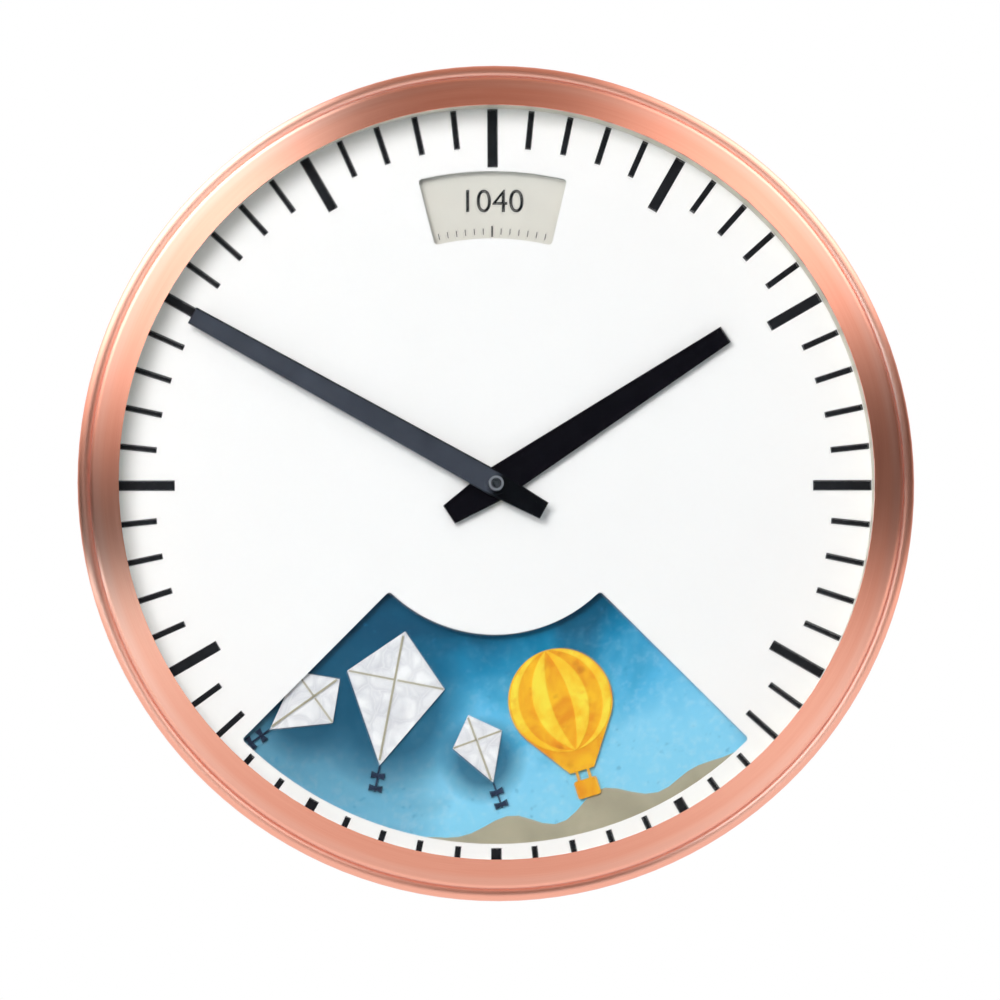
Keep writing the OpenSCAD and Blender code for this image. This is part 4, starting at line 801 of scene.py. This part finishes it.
floor_mesh = bpy.data.meshes.new("floor")
floor_mesh.from_pydata(
    [(x * FLOOR_HALF, y * FLOOR_HALF, FLOOR_Z) for x, y in ((-1, -1), (1, -1), (1, 1), (-1, 1))],
    [],
    [(0, 1, 2, 3)],
)
floor_mesh.materials.append(pale_floor())
floor = bpy.data.objects.new("floor", floor_mesh)
bpy.context.scene.collection.objects.link(floor)

# How bright the studio looks from the clock, by clock angle: soft boxes and dark flags round it
STUDIO_WALLS = (
    (0, 0.3),
    (16, 0.3),
    (31, 1.5),
    (45, 1.75),
    (58, 1.4),
    (68, 0.1),
    (76, 0.06),
    (92, 0.06),
    (102, 1.1),
    (118, 3.6),
    (140, 4.0),
    (168, 1.7),
    (188, 1.7),
    (204, 4.1),
    (222, 5.0),
    (242, 2.7),
    (255, 3.5),
    (263, 0.0),
    (277, 0.0),
    (288, 0.8),
    (298, 1.75),
    (318, 2.1),
    (331, 2.4),
    (345, 0.2),
    (360, 0.3),
)
# How much the surround lights matt surfaces
STUDIO_LEVEL = 0.08
# Near the clock's axis, where the camera stands, the studio is dark
DARK_CONE_A = (9.0, 20.0)
DARK_CONE = 0.01
# Far round to the sides the panels look brighter
BRIGHT_SIDE_A = (30.0, 60.0)
BRIGHT_SIDE = 2.0
# The ramp holds levels as shares of this one
WALL_RANGE = 10.0
# From this level on, soft boxes are daylight; the dark room between them is warm
ROOM_TINT = (1.0, 0.8, 0.66)
BOX_TINT = (0.85, 1.54, 1.88)
BOX_LEVEL = 3.0
# From the clock's own plane to here the walls fade into the plain white behind it
WALLS_END_Y = 0.7


def white_surround():
    """White behind the clock for the camera, metal and glass; panels and flags in front of it."""
    world = bpy.data.worlds.new("studio")
    bpy.context.scene.world = world
    world.use_nodes = True
    made = Nodes(world.node_tree)
    made.tree.nodes.clear()
    path = made.node("ShaderNodeLightPath")
    coords = made.node("ShaderNodeTexCoord")
    parts = made.node("ShaderNodeSeparateXYZ")
    made.link(coords.outputs["Generated"], parts.inputs[0])

    def backdrop(strength, color=WHITE):
        plain = made.node("ShaderNodeBackground")
        made.feed(plain.inputs["Color"], color)
        made.feed(plain.inputs["Strength"], strength)
        return plain.outputs[0]

    def either(factor, a, b):
        mix = made.node("ShaderNodeMixShader")
        for socket, source in zip(mix.inputs, (factor, a, b)):
            made.link(source, socket)
        return mix.outputs[0]

    turn = made.maths(
        "DIVIDE", made.maths("ARCTAN2", parts.outputs["X"], parts.outputs["Z"]), math.tau
    )
    stops = []
    for angle, level in STUDIO_WALLS:
        share = min(level / BOX_LEVEL, 1.0)
        tint = [room + share * (box - room) for room, box in zip(ROOM_TINT, BOX_TINT)]
        stops.append((angle / 360, [level / WALL_RANGE * part for part in tint]))
    walls = made.ramp(made.maths("FRACT", made.maths("ADD", turn, 1.0)), *stops)
    off_axis = made.maths("ARCCOSINE", made.maths("MULTIPLY", parts.outputs["Y"], -1.0))
    cone = made.span(off_axis, *(math.radians(a) for a in DARK_CONE_A), DARK_CONE)
    side_range = (WALL_RANGE, WALL_RANGE * BRIGHT_SIDE)
    sides = made.span(off_axis, *(math.radians(a) for a in BRIGHT_SIDE_A), *side_range)
    panels = backdrop(made.maths("MULTIPLY", sides, cone), walls)
    behind = made.maths("MULTIPLY", parts.outputs["Y"], 1 / WALLS_END_Y)
    mirrored = either(behind, panels, backdrop(1.0))
    rest = either(path.outputs["Is Glossy Ray"], backdrop(STUDIO_LEVEL), mirrored)
    seen = made.maths(
        "MAXIMUM", path.outputs["Is Camera Ray"], path.outputs["Is Transmission Ray"]
    )
    out = made.node("ShaderNodeOutputWorld")
    made.link(either(seen, rest, backdrop(1.0)), out.inputs["Surface"])


white_surround()

DIAL_CENTRE = Vector((0, -DIAL_FRONT_Z * MM, 0))


def soft_panel(name, clock_a, off_axis_a, distance, size, power):
    """A square or oblong soft light aimed at the dial, placed by its clock angle and tilt."""
    around = math.radians(clock_a)
    off = math.radians(off_axis_a)
    toward = Vector(
        (math.sin(around) * math.sin(off), -math.cos(off), math.cos(around) * math.sin(off))
    )
    data = bpy.data.lights.new(name, "AREA")
    data.shape = "RECTANGLE"
    data.size = size[0]
    data.size_y = size[1]
    data.energy = power
    lamp = bpy.data.objects.new(name, data)
    lamp.location = DIAL_CENTRE + toward * distance
    lamp.rotation_euler = toward.to_track_quat("Z", "Y").to_euler()
    lamp.visible_glossy = False
    bpy.context.scene.collection.objects.link(lamp)


soft_panel("key_upper_left", 306, 19, 2.2, (0.75, 0.75), 37.5)
soft_panel("fill_upper_right", 46, 34, 2.2, (0.9, 0.9), 1.5)
soft_panel("fill_below", 178, 38, 2.0, (3.0, 1.0), 3.0)
soft_panel("rear_upper", 330, 148, 2.4, (1.4, 1.4), 34.0)

# Camera: far away, a little to the left of the clock's axis and below it
CAMERA_AWAY = 5.0
CAMERA_LEFT = 0.2988
CAMERA_BELOW = 0.3989
CAMERA_TILT_A = (94.49, 0.31, -3.42)
FOCAL_PX = 13122.5
PHOTO_PX = 1000.0
SENSOR_MM = 36.0

camera_data = bpy.data.cameras.new("camera")
camera_data.sensor_width = SENSOR_MM
camera_data.lens = FOCAL_PX / PHOTO_PX * SENSOR_MM
camera = bpy.data.objects.new("camera", camera_data)
camera.location = DIAL_CENTRE + Vector((-CAMERA_LEFT, -CAMERA_AWAY, -CAMERA_BELOW))
camera.rotation_euler = [math.radians(a) for a in CAMERA_TILT_A]
bpy.context.scene.collection.objects.link(camera)
bpy.context.scene.camera = camera

bpy.context.scene.view_settings.view_transform = "Standard"
